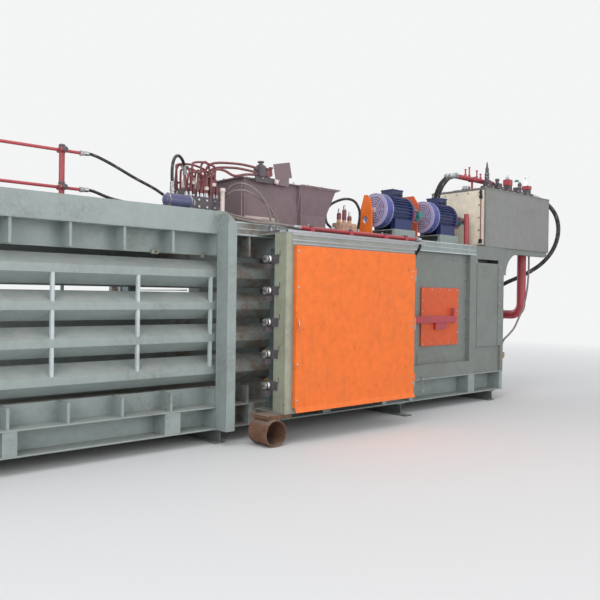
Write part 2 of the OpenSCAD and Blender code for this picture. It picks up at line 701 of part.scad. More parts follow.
module red_pipes() {
  color(pipe_red) {
    for (z = outlet_pipe_zs) {
      rod_x(choke_x, outlet_pipe_end, outlet_pipe_y, z, outlet_pipe_d);
      rod_y(choke_x, outlet_pipe_y, choke_port_y, z, outlet_pipe_d);
      translate([choke_x, outlet_pipe_y, z]) sphere(d = outlet_pipe_d);
    }
    rod_z(pipe_post_x, outlet_pipe_y, z_roof + roof_t, outlet_pipe_zs[1] + 20, 42);
    for (y = cab_pipe_ys) rod_x(cab_pipe_x[0], cab_pipe_x[1], y, cab_pipe_z, cab_pipe_d);
    for (x = [700, 1180, 1660, 1960])
      slab([x, x + 40], [cab_pipe_ys[0] - 30, cab_pipe_ys[1] + 30], [cab_top, cab_pipe_z + 8]);
    for (p = tank_pipes) tank_pipe(p[0], p[1]);
    fill_pipe();
    rod_z(pump_pipe[0], pump_pipe[1], z_rear_top, z_rear_top + 390, 60);
    rod_y(pump_pipe[0], pump_pipe[1], motor_y[1] - 85, shaft_z, 44);
  }
}
relief_x = [1560, 1800];
black_routes = [
  [
    [-1100, -440, 2285], [-1000, -440, 2285], [-850, -435, 2240], [-650, -430, 2160],
    [-450, -420, 2090], [-290, -405, 2020], [-200, -405, 2020]
  ],
  [
    [-1100, -440, 2010], [-1000, -440, 2010], [-850, -460, 1965], [-650, -480, 1940],
    [-450, -475, 1945], [-290, -455, 1975], [-200, -455, 1975]
  ],
  [
    [3570, -150, 2040], [3570, -150, 2120], [3555, -165, 2260], [3520, -205, 2450],
    [3470, -290, 2620], [3465, -380, 2705], [3540, -420, 2700], [3600, -420, 2700]
  ],
  [
    [3640, -150, 2040], [3640, -150, 2120], [3625, -180, 2260], [3580, -245, 2430],
    [3510, -350, 2580], [3465, -450, 2680], [3540, -480, 2700], [3600, -480, 2700]
  ],
  [
    [5180, valve_y, lid_z + 38], [5270, valve_y, lid_z + 38], [5420, -610, 2600], [5550, -690, 2500],
    [5620, -720, 2300], [5620, -710, 2050], [5560, -610, 1800], [5420, -400, 1580], [5220, -130, 1420],
    [port_x, 0, 1290], [port_x, 0, port_top]
  ],
  [
    [2140, -1040, 1815], [2190, -1040, 1815], [2240, -1010, 1770], [2250, -920, 1670],
    [2250, -830, 1580], [2250, -770, 1540], [2250, -700, 1540]
  ],
  [
    [2140, -980, 1815], [2170, -980, 1815], [2190, -940, 1780], [2190, -860, 1710],
    [2190, -780, 1660], [2190, -700, 1660]
  ],
  [
    [-400, -610, 2060], [-400, -610, 2110], [-385, -590, 2210], [-320, -530, 2300], [-225, -450, 2345],
    [-160, -405, 2330], [-150, -400, 2290], [-150, -400, 2250]
  ],
  [
    [relief_x[0], -500, 1910], [relief_x[0] - 60, -500, 1910], [1435, -485, 1960], [1430, -485, 2060],
    [1475, -515, 2145], [1580, -585, 2200], [1700, -610, 2190], [1800, -590, 2110], [1850, -545, 2000],
    [1860, -520, 1920], [1860, -520, z_rear_top]
  ]
];
black_ds = [outlet_pipe_d, outlet_pipe_d, 44, 44, 56, 30, 30, 26, 26];
black_ups = [
  [0, 1, 0.1], [0, 1, 0.1], [1, 0.2, 0], [1, 0.2, 0], [1, 1, 0], [1, 0.1, 0], [1, 0.1, 0],
  [0, 1, 0.1], [0, 1, 0.1]
];
module black_hoses() {
  color(hose_black) for (k = [0:len(black_routes) - 1]) hose(black_routes[k], black_ds[k], black_ups[k]);
}
drain_top = 560;
thin_routes = [
  [
    [120, -360, 2010], [160, -360, 2010], [172, -460, 2120], [178, -580, 2190], [230, -720, 2200],
    [330, -800, 2110], [420, -830, 1990], [450, -830, 1880], [450, -830, 1787]
  ],
  [
    [120, -420, 1990], [145, -420, 1990], [152, -500, 2060], [160, -590, 2110], [210, -690, 2140],
    [330, -760, 2080], [470, -820, 1960], [520, -830, 1870], [520, -830, 1787]
  ],
  [
    [120, -465, 1965], [145, -465, 1965], [160, -560, 1940], [175, -660, 1905], [280, -760, 1880],
    [420, -880, 1850], [540, -980, 1815], [600, -980, 1815]
  ],
  [
    [120, -500, 1945], [135, -500, 1945], [145, -600, 1905], [165, -700, 1880], [280, -810, 1850],
    [420, -940, 1835], [540, -1040, 1815], [600, -1040, 1815]
  ],
  [
    [5000, -640, z_rear_top], [5000, -640, 1790], [4990, -645, 1600], [4940, -655, 1350],
    [4840, -665, 1130], [4710, -675, 980], [4590, -685, 860], [4460, -690, 780], [4350, -690, 720],
    [4295, -690, 650], [4290, -690, 600], [4290, -690, drain_top]
  ]
];
thin_ds = [18, 18, 22, 22, 24];
module thin_hoses() {
  color("#8d7f78") for (k = [0:len(thin_routes) - 1]) hose(thin_routes[k], thin_ds[k], [1, 0.1, 0.3]);
}
block_x = [-200, 120];
block_y = [-520, -260];
block_z = [1930, 2060];
relief_tops = [2080, 2120, 2060];
module valve_block() {
  color("#5a4d55") {
    for (x = [block_x[0] + 10, block_x[1] - 70], y = [block_y[0] + 20, block_y[1] - 60])
      slab([x, x + 40], [y, y + 40], [z_roof + roof_t, block_z[0] + 1]);
    slab(block_x, block_y, block_z);
    for (x = [-150, -70, 10, 80]) {
      slab([x - 30, x + 30], [-440, -330], [block_z[1] - 1, block_z[1] + 70]);
      rod_z(x, -400, block_z[1] + 69, block_z[1] + 190, 48);
      rod_y(x, -331, -250, block_z[1] + 35, 44);
    }
    slab([-460, -230], [-650, -570], [z_top, z_top + 40]);
    rod_x(-480, -210, -610, z_top + 65, 110);
    rod_x(-211, -190, -610, z_top + 65, 60);
    rod_z(-400, -610, z_top + 100, 2060, 40);
    slab([3530, 3680], [-210, -90], [z_rear_top, 2040]);
    slab(relief_x, [-560, -440], [z_rear_top, z_rear_top + 120]);
    for (k = [0:2]) {
      rod_z(relief_x[0] + 40 + 75 * k, -500, z_rear_top + 119, relief_tops[k], 54);
      rod_z(relief_x[0] + 40 + 75 * k, -500, relief_tops[k] - 1, relief_tops[k] + 40, 30);
    }
    slab([rear_x, rear_x + 90], [-720, -660], [drain_top - 70, drain_top]);
    rod_x(rear_x + 89, rear_x + 130, -690, drain_top - 35, 36);
  }
}
module pipe_support() {
  x = 270;
  y1 = -y_cab + 10;
  color("#7a5a44") {
    difference() {
      rod_y(x, y1 - 30, y1 + support_len - 30, support_d / 2, support_d);
      rod_y(x, y1 - 31, y1 + support_len, support_d / 2, support_d - 16);
    }
    slab([x - 60, x + 200], [y1 + 10, y1 + support_len - 20], [support_d, cab_z]);
  }
}
case_x = [500, 640];
case_y = [y_out + 20, y_out + 180];
case_top = 1640;
hook_x = 565;
module twister_case() {
  color("#54656b") mirror([0, 1, 0]) difference() {
    union() {
      slab(case_x, case_y, [cab_z + cab_t + 14, case_top]);
      slab([case_x[0] - 40, case_x[1] + 40], [case_y[0], case_y[1] + 40],
        [cab_z + cab_t, cab_z + cab_t + 15]);
      for (z = slot_zs) rod_y(hook_x, case_y[0] - 12, case_y[0] + 1, z, hook_d + 30);
      slab([case_x[0] + 15, case_x[1] - 15], [case_y[1] - 1, case_y[1] + 12],
        [slot_zs[0] - 120, case_top - 20]);
    }
    for (z = slot_zs) rod_y(hook_x, case_y[0] - 13, case_y[0] + 45, z, hook_d + 2 * pin_gap);
  }
}
module twister_motor() {
  z = slot_zs[3] + slot_pitch / 2;
  color("#c9a43c") mirror([0, 1, 0]) {
    slab([hook_x - 55, hook_x + 55], [case_y[1] + 12, case_y[1] + 28], [z - 55, z + 55]);
    rod_y(hook_x, case_y[1] + 27, case_y[1] + 150, z, 92);
    slab([hook_x - 30, hook_x + 30], [case_y[1] + 60, case_y[1] + 120], [z + 30, z + 66]);
  }
}
module twister_hook(k) {
  y0 = y_liner + 60;
  color("#d8b13a") mirror([0, 1, 0]) difference() {
    union() {
      rod_y(hook_x, y0 + 8, case_y[0] + 44, slot_zs[k], hook_d);
      rod_y(hook_x, y0, y0 + 16, slot_zs[k], hook_d + 12);
    }
    slab([hook_x - 4, hook_x + 4], [y0 - 1, y0 + 10], [slot_zs[k] - 20, slot_zs[k] + 4]);
    slab([hook_x - 4, hook_x + 20], [y0 - 1, y0 + 10], [slot_zs[k] - 4, slot_zs[k] + 4]);
  }
}
module twister_hook_1() { twister_hook(0); }
module twister_hook_2() { twister_hook(1); }
module twister_hook_3() { twister_hook(2); }
module twister_hook_4() { twister_hook(3); }
module twister_hook_5() { twister_hook(4); }
guide_pin_d = 16;
guide_y = y_cab - cab_post_d - 40;
guide_x1 = cab_x - 20;
module roller_brackets() {
  color("#3c3a3e") mirror([0, 1, 0]) for (z = slot_zs) {
    slab([cab_x - plate_t, cab_x], [guide_y - 40, guide_y + 100], [z - 36, z + 36]);
    rod_x(guide_x1 - guide_len - 8, cab_x - plate_t + 1, guide_y, z, guide_pin_d);
    rod_x(guide_x1 - guide_len - 14, guide_x1 - guide_len - 6, guide_y, z, guide_pin_d + 12);
    slab([guide_x1 - guide_len, cab_x - plate_t], [guide_y - 26, guide_y + 26],
      [z - guide_d / 2 - 52, z - guide_d / 2 - 12]);
    slab([cab_x - plate_t, cab_x], [guide_y - 26, guide_y + 26], [z - guide_d / 2 - 52, z - 35]);
  }
}
module guide_roller(k) {
  color("#e2e4e0") mirror([0, 1, 0]) translate([guide_x1 - guide_len, guide_y, slot_zs[k]])
    rotate([0, 90, 0]) rotate_extrude() polygon([
      [guide_pin_d / 2 + pin_gap, 0], [guide_d / 2, 0], [guide_d / 2, 10], [guide_d / 2 - 12, 18],
      [guide_d / 2 - 12, guide_len - 18], [guide_d / 2, guide_len - 10], [guide_d / 2, guide_len],
      [guide_pin_d / 2 + pin_gap, guide_len]
    ]);
}
module guide_roller_1() { guide_roller(0); }
module guide_roller_2() { guide_roller(1); }
module guide_roller_3() { guide_roller(2); }
module guide_roller_4() { guide_roller(3); }
module guide_roller_5() { guide_roller(4); }
needle_rest_y = y_liner + 10;
carriage_y = y_out + 20 + needle_stroke;
frame_end_y = carriage_y + 120;
guide_zs = [250, 1760];
slide_gap = 0.5;
module needle_frame() {
  color(frame_green) difference() {
    union() {
      slab([needle_x - 80, needle_x + 80], [y_liner, frame_end_y], [guide_zs[0] - 80, guide_zs[0]]);
      slab([needle_x - 80, needle_x + 80], [y_out, frame_end_y], [guide_zs[1], guide_zs[1] + 80]);
      slab([needle_x - 80, needle_x + 80], [frame_end_y, frame_end_y + 80], [12, guide_zs[1] + 80]);
      slab([needle_x - 140, needle_x + 140], [frame_end_y - 60, frame_end_y + 140], [0, 12]);
    }
    slab([needle_x - 66, needle_x + 66], [frame_end_y + 10, frame_end_y + 81], [60, guide_zs[1] + 20]);
  }
}
module needle_drive() {
  color("#4d5a52") {
    slab([needle_x + 80, needle_x + 150], [y_out + 20, frame_end_y + 60],
      [guide_zs[1] + 5, guide_zs[1] + 75]);
    rod_x(needle_x + 149, needle_x + 290, frame_end_y + 10, guide_zs[1] + 40, 96);
  }
}
module needle_carriage() {
  tip = 60;
  color("#b9bec4") {
    slab([needle_x - 40, needle_x + 40], [carriage_y, carriage_y + 80],
      [guide_zs[0] + slide_gap, guide_zs[1] - slide_gap]);
    for (z = [guide_zs[0] + slide_gap, guide_zs[1] - slide_gap - 60])
      slab([needle_x - 60, needle_x + 60], [carriage_y - 12, carriage_y + 92], [z, z + 60]);
    for (z = slot_zs) translate([0, 0, z - needle_h / 2]) linear_extrude(needle_h) polygon([
      [needle_x - needle_w / 2, carriage_y + 1], [needle_x - needle_w / 2, needle_rest_y + 2 * tip],
      [needle_x - needle_w / 2 + 12, needle_rest_y + 1.4 * tip],
      [needle_x - needle_w / 2, needle_rest_y + tip],
      [needle_x, needle_rest_y], [needle_x + needle_w / 2, needle_rest_y + tip],
      [needle_x + needle_w / 2, carriage_y + 1]
    ]);
  }
}
bridge_z = [1790, 1910];
choke_barrel_z1 = 2400;
module choke_bridge() {
  color(frame_green) difference() {
    slab([choke_x - 60, choke_x + 60], [-y_in, y_in], bridge_z);
    for (side = [-1, 1]) slab([choke_x - 61, choke_x + 61], side > 0 ? [120, y_in - 40] : [-y_in + 40, -120],
      [bridge_z[0] + 14, bridge_z[1] - 14]);
    rod_z(choke_x, 0, bridge_z[0] - 1, bridge_z[1] + 1, choke_rod_d + 0.6);
  }
}
module choke_barrel() {
  color(pipe_red) difference() {
    union() {
      rod_z(choke_x, 0, bridge_z[1], choke_barrel_z1, choke_barrel_d);
      slab([choke_x - 60, choke_x + 60], [-110, 110], [bridge_z[1], bridge_z[1] + 24]);
      for (z = outlet_pipe_zs) rod_y(choke_x, -choke_barrel_d / 2 - 30, 0, z, 64);
    }
    rod_z(choke_x, 0, bridge_z[1] + 34, choke_barrel_z1 - 20, choke_barrel_d - 36);
    rod_z(choke_x, 0, bridge_z[1] - 1, bridge_z[1] + 40, choke_rod_d + 2 * gland_gap);
  }
}
module choke_platen() {
  platen_h = 30;
  rod_top = bridge_z[1] + 34 + choke_stroke + 20;
  color("#8c8f8a") {
    slab([choke_x - choke_len / 2, choke_x + choke_len / 2], [-y_in + 60, y_in - 60],
      [z_roof, z_roof + platen_h]);
    for (y = [-300, -100, 88, 288])
      slab([choke_x - choke_len / 2 + 20, choke_x + choke_len / 2 - 20], [y, y + 12],
        [z_roof + platen_h - 1, z_roof + platen_h + 32]);
    rod_z(choke_x, 0, z_roof + platen_h - 1, rod_top + 1, choke_rod_d);
    rod_z(choke_x, 0, rod_top, rod_top + 50, choke_barrel_d - 37);
  }
}
eye_x = 2830;
eye_t = 88;
lug_z = 50;
module ram_body() {
  w = y_in - ram_gap;
  x0 = ram_face_x;
  x1 = ram_face_x + ram_len;
  color("#8d7466") difference() {
    union() {
      difference() {
        slab([x0, x1], [-w, w], [ram_z0, ram_z1]);
        slab([x0 + ram_t, x0 + ram_slot_depth], [-w + ram_t, w - ram_t], [ram_z0 + ram_t, ram_z1 - ram_t]);
        slab([x0 + ram_slot_depth + ram_t, x1 - ram_t], [-w + ram_t, w - ram_t],
          [ram_z0 + ram_t, ram_z1 - ram_t]);
      }
      for (y = [-300, 0, 300])
        slab([x0 + 1, x0 + ram_slot_depth + ram_t], [y - 15, y + 15], [ram_z0 + 1, ram_z1 - 1]);
      for (side = [-1, 1]) {
        z = axis_z + side * (eye_t / 2 + 1 + lug_z / 2);
        slab([x1 - ram_t, eye_x], [-100, 100], [z - lug_z / 2, z + lug_z / 2]);
        rod_z(eye_x, 0, z - lug_z / 2, z + lug_z / 2, 180);
      }
    }
    for (z = slot_zs)
      slab([x0 - 1, x0 + ram_slot_depth], [-w - 1, w + 1], [z - ram_slot_h / 2, z + ram_slot_h / 2]);
    rod_z(eye_x, 0, axis_z - 200, axis_z + 200, rod_pin_d + 2 * pin_gap);
  }
}
piston_x = [4860, 4980];
module piston_rod() {
  color("#c5c9cc") difference() {
    union() {
      intersection() {
        rod_x(eye_x - 95, piston_x[0] + 1, 0, axis_z, rod_d);
        union() {
          slab([eye_x - 95, eye_x + 110], [-90, 90], [axis_z - eye_t / 2, axis_z + eye_t / 2]);
          slab([eye_x + 100, piston_x[1]], [-200, 200], [axis_z - 200, axis_z + 200]);
        }
      }
      rod_x(piston_x[0], piston_x[1], 0, axis_z, barrel_d - 2 * barrel_wall - 0.6);
    }
    rod_z(eye_x, 0, axis_z - 200, axis_z + 200, rod_pin_d + 2 * pin_gap);
  }
}
module rod_pin() {
  z = eye_t / 2 + 1 + lug_z;
  color("#9a9da0") {
    rod_z(eye_x, 0, axis_z - z - 14, axis_z + z + 1, rod_pin_d);
    rod_z(eye_x, 0, axis_z + z, axis_z + z + 14, rod_pin_d + 24);
  }
}
module big_door() {
  y0 = y_cab + 1;
  y1 = y_cab + door_t;
  z1 = door_z + door_h;
  color(door_orange) mirror([0, 1, 0]) difference() {
    union() {
      difference() {
        slab([door_x0, door_x1], [y0, y1], [door_z, z1]);
        slab([door_x0 + door_sheet, door_x1 - door_sheet], [y0 - 1, y1 - door_sheet],
          [door_z + door_sheet, z1 - door_sheet]);
      }
      for (x = [door_x0 + 380, door_x0 + 760, door_x0 + 1140])
        slab([x, x + 30], [y1 - 24, y1 - 1], [door_z + 1, z1 - 1]);
      along_x(door_x0, door_x1) polygon([
        [y1 - door_sheet, door_z + 6], [y1, door_z + 6], [y1 + 20, door_z - 38], [y1 + 16, door_z - 38]
      ]);
      for (z = hinge_zs) {
        slab([door_x1 - 10, hinge_x], [hinge_y - 5, hinge_y + 5], [z + slide_gap, z + knuckle_h]);
        rod_z(hinge_x, hinge_y, z + slide_gap, z + knuckle_h, knuckle_d);
      }
    }
    for (z = hinge_zs) rod_z(hinge_x, hinge_y, z, z + knuckle_h + 10, hinge_pin_d + 2 * pin_gap);
  }
}
hatch_y = y_out - skin_recess + slide_gap;
module hatch_door() {
  color(door_orange) mirror([0, 1, 0]) {
    slab([hatch_x, hatch_x + hatch_w], [hatch_y, hatch_y + hatch_t], [hatch_z, hatch_z + hatch_h]);
    slab([hatch_x + hatch_lap + 6, hatch_x + hatch_w - hatch_lap - 6], [hatch_y - 30, hatch_y + 1],
      [hatch_z + hatch_lap + 6, hatch_z + hatch_h - hatch_lap - 6]);
  }
}
arm_end_x = 3250;
module hatch_arm() {
  y0 = hatch_y + hatch_t;
  color("#c0392f") mirror([0, 1, 0]) difference() {
    union() {
      slab([arm_x, arm_end_x], [y0, y0 + 46], [hatch_mid_z - arm_h / 2, hatch_mid_z + arm_h / 2]);
      slab([arm_x - arm_hub_d / 2, arm_x + 60], [y0, arm_y + 20],
        [hatch_mid_z - arm_h / 2, hatch_mid_z + arm_h / 2]);
      rod_z(arm_x, arm_y, hatch_mid_z - arm_h / 2, hatch_mid_z + arm_h / 2, arm_hub_d);
      slab([hatch_x + 220, hatch_x + 420], [y0, y0 + 30], [hatch_mid_z - 110, hatch_mid_z]);
      slab([arm_end_x - 60, arm_end_x - 30], [y0 + 20, y0 + 46], [hatch_mid_z - 40, hatch_mid_z + 130]);
    }
    rod_z(arm_x, arm_y, hatch_mid_z - arm_h, hatch_mid_z + arm_h, arm_pin_d + 2 * pin_gap);
  }
}
skid_beams();
base_beams();
floor_plate();
chamber_roof();
top_beams();
rails_near();
rails_far();
wall_panels();
slot_tie_bars();
columns();
outlet_frame();
feed_walls();
press_wall_near();
press_wall_far();
press_roof();
rear_plate();
hopper();
tie_cabinet();
cabinet_post();
cabinet_rail();
main_barrel();
oil_tank();
tank_lid();
tank_valves();
motors();
fan_covers();
bell_housings();
pumps();
motor_plinths();
roof_brackets();
red_pipes();
black_hoses();
thin_hoses();
valve_block();
pipe_support();
twister_case();
twister_motor();
roller_brackets();
needle_frame();
needle_drive();
choke_bridge();
choke_barrel();
ram_body();
piston_rod();
rod_pin();
needle_carriage();
choke_platen();
big_door();
hatch_door();
hatch_arm();
twister_hook_1();
twister_hook_2();
twister_hook_3();
twister_hook_4();
twister_hook_5();
guide_roller_1();
guide_roller_2();
guide_roller_3();
guide_roller_4();
guide_roller_5();
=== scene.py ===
"""Looks of a horizontal recycling baler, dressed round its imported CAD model."""
import json
import math
import bmesh
import bpy
from mathutils import Matrix, Vector


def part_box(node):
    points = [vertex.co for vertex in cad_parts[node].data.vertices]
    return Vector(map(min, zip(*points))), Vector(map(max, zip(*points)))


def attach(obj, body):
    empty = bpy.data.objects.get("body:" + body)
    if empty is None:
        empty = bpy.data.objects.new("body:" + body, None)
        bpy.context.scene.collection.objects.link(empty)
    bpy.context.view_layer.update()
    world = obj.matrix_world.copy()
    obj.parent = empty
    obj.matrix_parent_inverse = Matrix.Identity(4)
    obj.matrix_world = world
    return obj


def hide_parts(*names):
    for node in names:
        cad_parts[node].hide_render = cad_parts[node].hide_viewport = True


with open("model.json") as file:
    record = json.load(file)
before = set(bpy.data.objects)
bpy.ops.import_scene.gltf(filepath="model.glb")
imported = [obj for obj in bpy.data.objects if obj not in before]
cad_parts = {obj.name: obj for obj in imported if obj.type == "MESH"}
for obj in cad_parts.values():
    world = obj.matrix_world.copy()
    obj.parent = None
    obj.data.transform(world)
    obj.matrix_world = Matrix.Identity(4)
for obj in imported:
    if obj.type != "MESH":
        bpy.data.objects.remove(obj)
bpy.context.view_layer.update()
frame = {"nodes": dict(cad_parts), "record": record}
NODES = frame["nodes"]

# Camera, found from the photograph's perspective; places in metres
CAMERA_AT = (-3.346, -5.461, 1.231)
CAMERA_TURN = 41.8
CAMERA_DIP = 0.34
CAMERA_ROLL = 0.79
FOCAL_PX = 694.6
PHOTO_PX = 600
SENSOR_MM = 36.0

# Paints and metals, as they look in plain light, except the colours noted as painted light or shade
FRAME_GREY = (0.285, 0.335, 0.325)
PRESS_GREY = (0.195, 0.215, 0.20)
# Lighter copy of the frame's grey on bars and beam strips: painted highlight of their lit faces
BAR_LIT_GREY = (0.50, 0.56, 0.57)
TANK_GREY = (0.235, 0.240, 0.230)
SKID_GREY = (0.12, 0.13, 0.13)
WORN_STEEL = (0.28, 0.25, 0.23)
HOPPER_MAUVE = (0.21, 0.145, 0.16)
CABINET_GREEN = (0.28, 0.30, 0.265)
POST_CREAM = (0.34, 0.355, 0.27)
BARE_STEEL = (0.46, 0.47, 0.49)
CHROME = (0.72, 0.73, 0.75)
# Near-white of the guide rollers and the lid valves' caps: painted highlight on their steel
ROLLER_HIGHLIGHT_WHITE = (0.90, 0.91, 0.90)
PIPE_RED = (0.44, 0.06, 0.075)
VALVE_DARK = (0.10, 0.085, 0.095)
MOTOR_BLUE = (0.022, 0.035, 0.13)
# Lilac of the fan covers' grids, on their lit side: painted light on the covers' blue
COVER_LIT_LILAC = (0.42, 0.38, 0.58)
PUMP_TEAL = (0.05, 0.24, 0.27)
DOOR_ORANGE = (0.86, 0.170, 0.016)
HATCH_ORANGE = (0.66, 0.095, 0.018)
HOSE_BLACK = (0.02, 0.02, 0.022)
HOSE_PALE = (0.20, 0.16, 0.15)
RUST_BROWN = (0.20, 0.10, 0.055)
RUST_WARM = (0.25, 0.13, 0.085)
RUST_DARK = (0.07, 0.035, 0.02)
GRIME_BROWN = (0.10, 0.075, 0.06)
DUST_PALE = (0.45, 0.42, 0.38)
CASE_GREEN = (0.09, 0.13, 0.13)
SIGNAL_YELLOW = (0.46, 0.29, 0.05)
PIPE_BROWN = (0.20, 0.055, 0.06)
ACCUMULATOR_BLUE = (0.085, 0.088, 0.18)
# Darker blue on the fan covers' sides: painted shade
COVER_SHADED_BLUE = (0.07, 0.085, 0.30)
RELIEF_CREAM = (0.60, 0.36, 0.24)
# Pale cream of the tank's end cover: painted light on the tank's lit left end
END_COVER_LIT_CREAM = (0.86, 0.78, 0.63)
# Pale lilac of the rings on the fan covers' rims: painted highlight
COVER_RIM_HIGHLIGHT = (0.62, 0.60, 0.74)
# Pale pink of the hopper's edge strips: painted highlight on its edges
RIM_HIGHLIGHT_PINK = (0.62, 0.47, 0.46)
WARM_WHITE = (0.74, 0.62, 0.58)
FLOOR_WHITE = (0.73, 0.73, 0.73)
FLOOR_SHADE = (0.7, 0.7, 0.7)
SKY_WHITE = (0.90, 0.92, 0.95)
BACKDROP_WHITE = (0.95, 0.955, 0.96)
BACKDROP_LEVEL = 0.95

# Where paint changes along and over the machine, in metres
HATCH_FROM_X = 2.3
TANK_FROM_X = 3.75
ROOF_TOP_Z = 1.862


class Tree:
    """Short calls that add and join nodes in one node tree."""

    def __init__(self, tree):
        self.nodes, self.links = tree.nodes, tree.links

    def add(self, kind, inputs=None, **settings):
        node = self.nodes.new(kind)
        for name, value in settings.items():
            setattr(node, name, value)
        for name, value in (inputs or {}).items():
            self.feed(node.inputs[name], value)
        return node

    def feed(self, socket, value):
        if isinstance(value, bpy.types.NodeSocket):
            self.links.new(value, socket)
        elif isinstance(value, tuple) and len(value) == 3 and socket.type == "RGBA":
            socket.default_value = (*value, 1)
        else:
            socket.default_value = value

    def math(self, operation, a, b=0.0, clamp=False):
        node = self.add("ShaderNodeMath", {0: a, 1: b}, operation=operation, use_clamp=clamp)
        return node.outputs[0]

    def chain(self, operation, values, clamp):
        """Values joined one after another; only the last step is clamped."""
        total = values[0]
        for k, value in enumerate(values[1:], 2):
            total = self.math(operation, total, value, clamp and k == len(values))
        return total

    def times(self, *values, clamp=False):
        return self.chain("MULTIPLY", values, clamp)

    def plus(self, *values, clamp=False):
        return self.chain("ADD", values, clamp)

    def span(self, value, low, high, out_low=0.0, out_high=1.0):
        inputs = {"Value": value, "From Min": low, "From Max": high, "To Min": out_low, "To Max": out_high}
        return self.add("ShaderNodeMapRange", inputs).outputs["Result"]

    def noise(self, vector, scale, detail=4.0, rough=0.55):
        inputs = {"Vector": vector, "Scale": scale, "Detail": detail, "Roughness": rough}
        return self.add("ShaderNodeTexNoise", inputs).outputs["Fac"]

    def blend(self, factor, a, b, way="MIX"):
        node = self.add("ShaderNodeMix", data_type="RGBA", blend_type=way)
        for name, value in (("Factor_Float", factor), ("A_Color", a), ("B_Color", b)):
            self.feed(next(s for s in node.inputs if s.identifier == name), value)
        return next(s for s in node.outputs if s.identifier == "Result_Color")

    def toned(self, colour, tone):
        """A colour made paler or darker by a number."""
        grey = self.add("ShaderNodeCombineColor", {0: tone, 1: tone, 2: tone}).outputs[0]
        return self.blend(1.0, colour, grey, "MULTIPLY")

    def place(self):
        return self.add("ShaderNodeTexCoord").outputs["Object"]

    def normal(self):
        return self.add("ShaderNodeNewGeometry").outputs["Normal"]

    def part(self, vector, letter):
        """One coordinate of a place or of a direction."""
        return self.add("ShaderNodeSeparateXYZ", {0: vector}).outputs[letter]

    def stretched(self, vector, scale):
        return self.add("ShaderNodeVectorMath", {0: vector, 1: scale}, operation="MULTIPLY").outputs[0]

    def coat(self, shader, colour, rough, height, strength, distance):
        """Gives a shader its colour, its roughness and the height of its bumps."""
        self.feed(shader.inputs["Base Color"], colour)
        self.feed(shader.inputs["Roughness"], rough)
        bump = self.add("ShaderNodeBump", {"Height": height, "Strength": strength, "Distance": distance})
        self.feed(shader.inputs["Normal"], bump.outputs[0])


def new_group(name, inputs, outputs=("Mask",)):
    """An empty shader group of numbers: its inputs with their defaults, and its outputs."""
    group = bpy.data.node_groups.new(name, "ShaderNodeTree")
    for label, default in inputs.items():
        socket = group.interface.new_socket(label, in_out="INPUT", socket_type="NodeSocketFloat")
        socket.default_value = default
    for label in outputs:
        group.interface.new_socket(label, in_out="OUTPUT", socket_type="NodeSocketFloat")
    tree = Tree(group)
    return group, tree, tree.add("NodeGroupInput").outputs, tree.add("NodeGroupOutput").inputs


def make_edge_wear():
    """Mask of edges and corners where paint has rubbed off."""
    group, t, given, out = new_group("edge_wear", {"Width": 0.004, "Breakup": 60.0, "Amount": 0.6})
    soft = t.add("ShaderNodeBevel", {"Radius": given["Width"]}, samples=4).outputs["Normal"]
    dot = t.add("ShaderNodeVectorMath", {0: soft, 1: t.normal()}, operation="DOT_PRODUCT").outputs["Value"]
    edge = t.span(dot, 0.985, 0.80)
    rubbed = t.span(t.noise(t.place(), given["Breakup"], 5.0, 0.65), 0.42, 0.60)
    t.feed(out["Mask"], t.times(edge, rubbed, given["Amount"], clamp=True))
    return group


def make_grime():
    """Mask of oily dirt: broad patches, and runs that follow gravity."""
    group, t, given, out = new_group("grime", {"Scale": 2.5, "Patches": 0.5, "Runs": 0.4})
    place = t.place()
    broad = t.span(t.noise(place, given["Scale"], 6.0, 0.62), 0.48, 0.72)
    fine = t.span(t.noise(place, 38.0, 4.0, 0.6), 0.35, 0.65)
    down = t.span(t.noise(t.stretched(place, (26.0, 26.0, 1.1)), 1.0, 3.0, 0.55), 0.56, 0.74)
    patch = t.times(broad, fine, given["Patches"])
    t.feed(out["Mask"], t.plus(patch, t.times(down, broad, given["Runs"]), clamp=True))
    return group


def make_dust():
    """Mask of dust that has settled on faces that look up."""
    group, t, given, out = new_group("dust", {"Amount": 0.5})
    up = t.span(t.part(t.normal(), "Z"), 0.55, 0.95)
    cloud = t.span(t.noise(t.place(), 7.0, 6.0, 0.6), 0.30, 0.68, 0.25, 1.0)
    t.feed(out["Mask"], t.times(up, cloud, given["Amount"], clamp=True))
    return group


def make_skin():
    """Fine unevenness of a sprayed or rolled surface: a tone, a roughness offset and a height."""
    group, t, given, out = new_group("skin", {"Grain": 420.0, "Waves": 3.0}, ("Tone", "Rough", "Height"))
    place = t.place()
    grain = t.noise(place, given["Grain"], 2.0, 0.5)
    waves = t.noise(place, given["Waves"], 3.0, 0.5)
    patch = t.noise(place, 14.0, 5.0, 0.6)
    t.feed(out["Tone"], t.span(patch, 0.25, 0.75, 0.88, 1.10))
    t.feed(out["Rough"], t.span(patch, 0.3, 0.7, -0.08, 0.10))
    t.feed(out["Height"], t.plus(t.times(grain, 0.12), waves))
    return group


def make_rust():
    """Mask of rust blooms that start at spots and spread."""
    group, t, given, out = new_group("rust", {"Scale": 9.0, "Amount": 0.4})
    spots = t.noise(t.place(), given["Scale"], 8.0, 0.7)
    edge = t.math("SUBTRACT", 0.74, t.times(given["Amount"], 0.28))
    t.feed(out["Mask"], t.times(t.math("SUBTRACT", spots, edge), 14.0, clamp=True))
    return group


GROUPS = {make.__name__[5:]: make() for make in (make_edge_wear, make_grime, make_dust, make_skin, make_rust)}


def placed(tree, name, **inputs):
    """One use of a shared group in a material."""
    return tree.add("ShaderNodeGroup", inputs, node_tree=GROUPS[name]).outputs


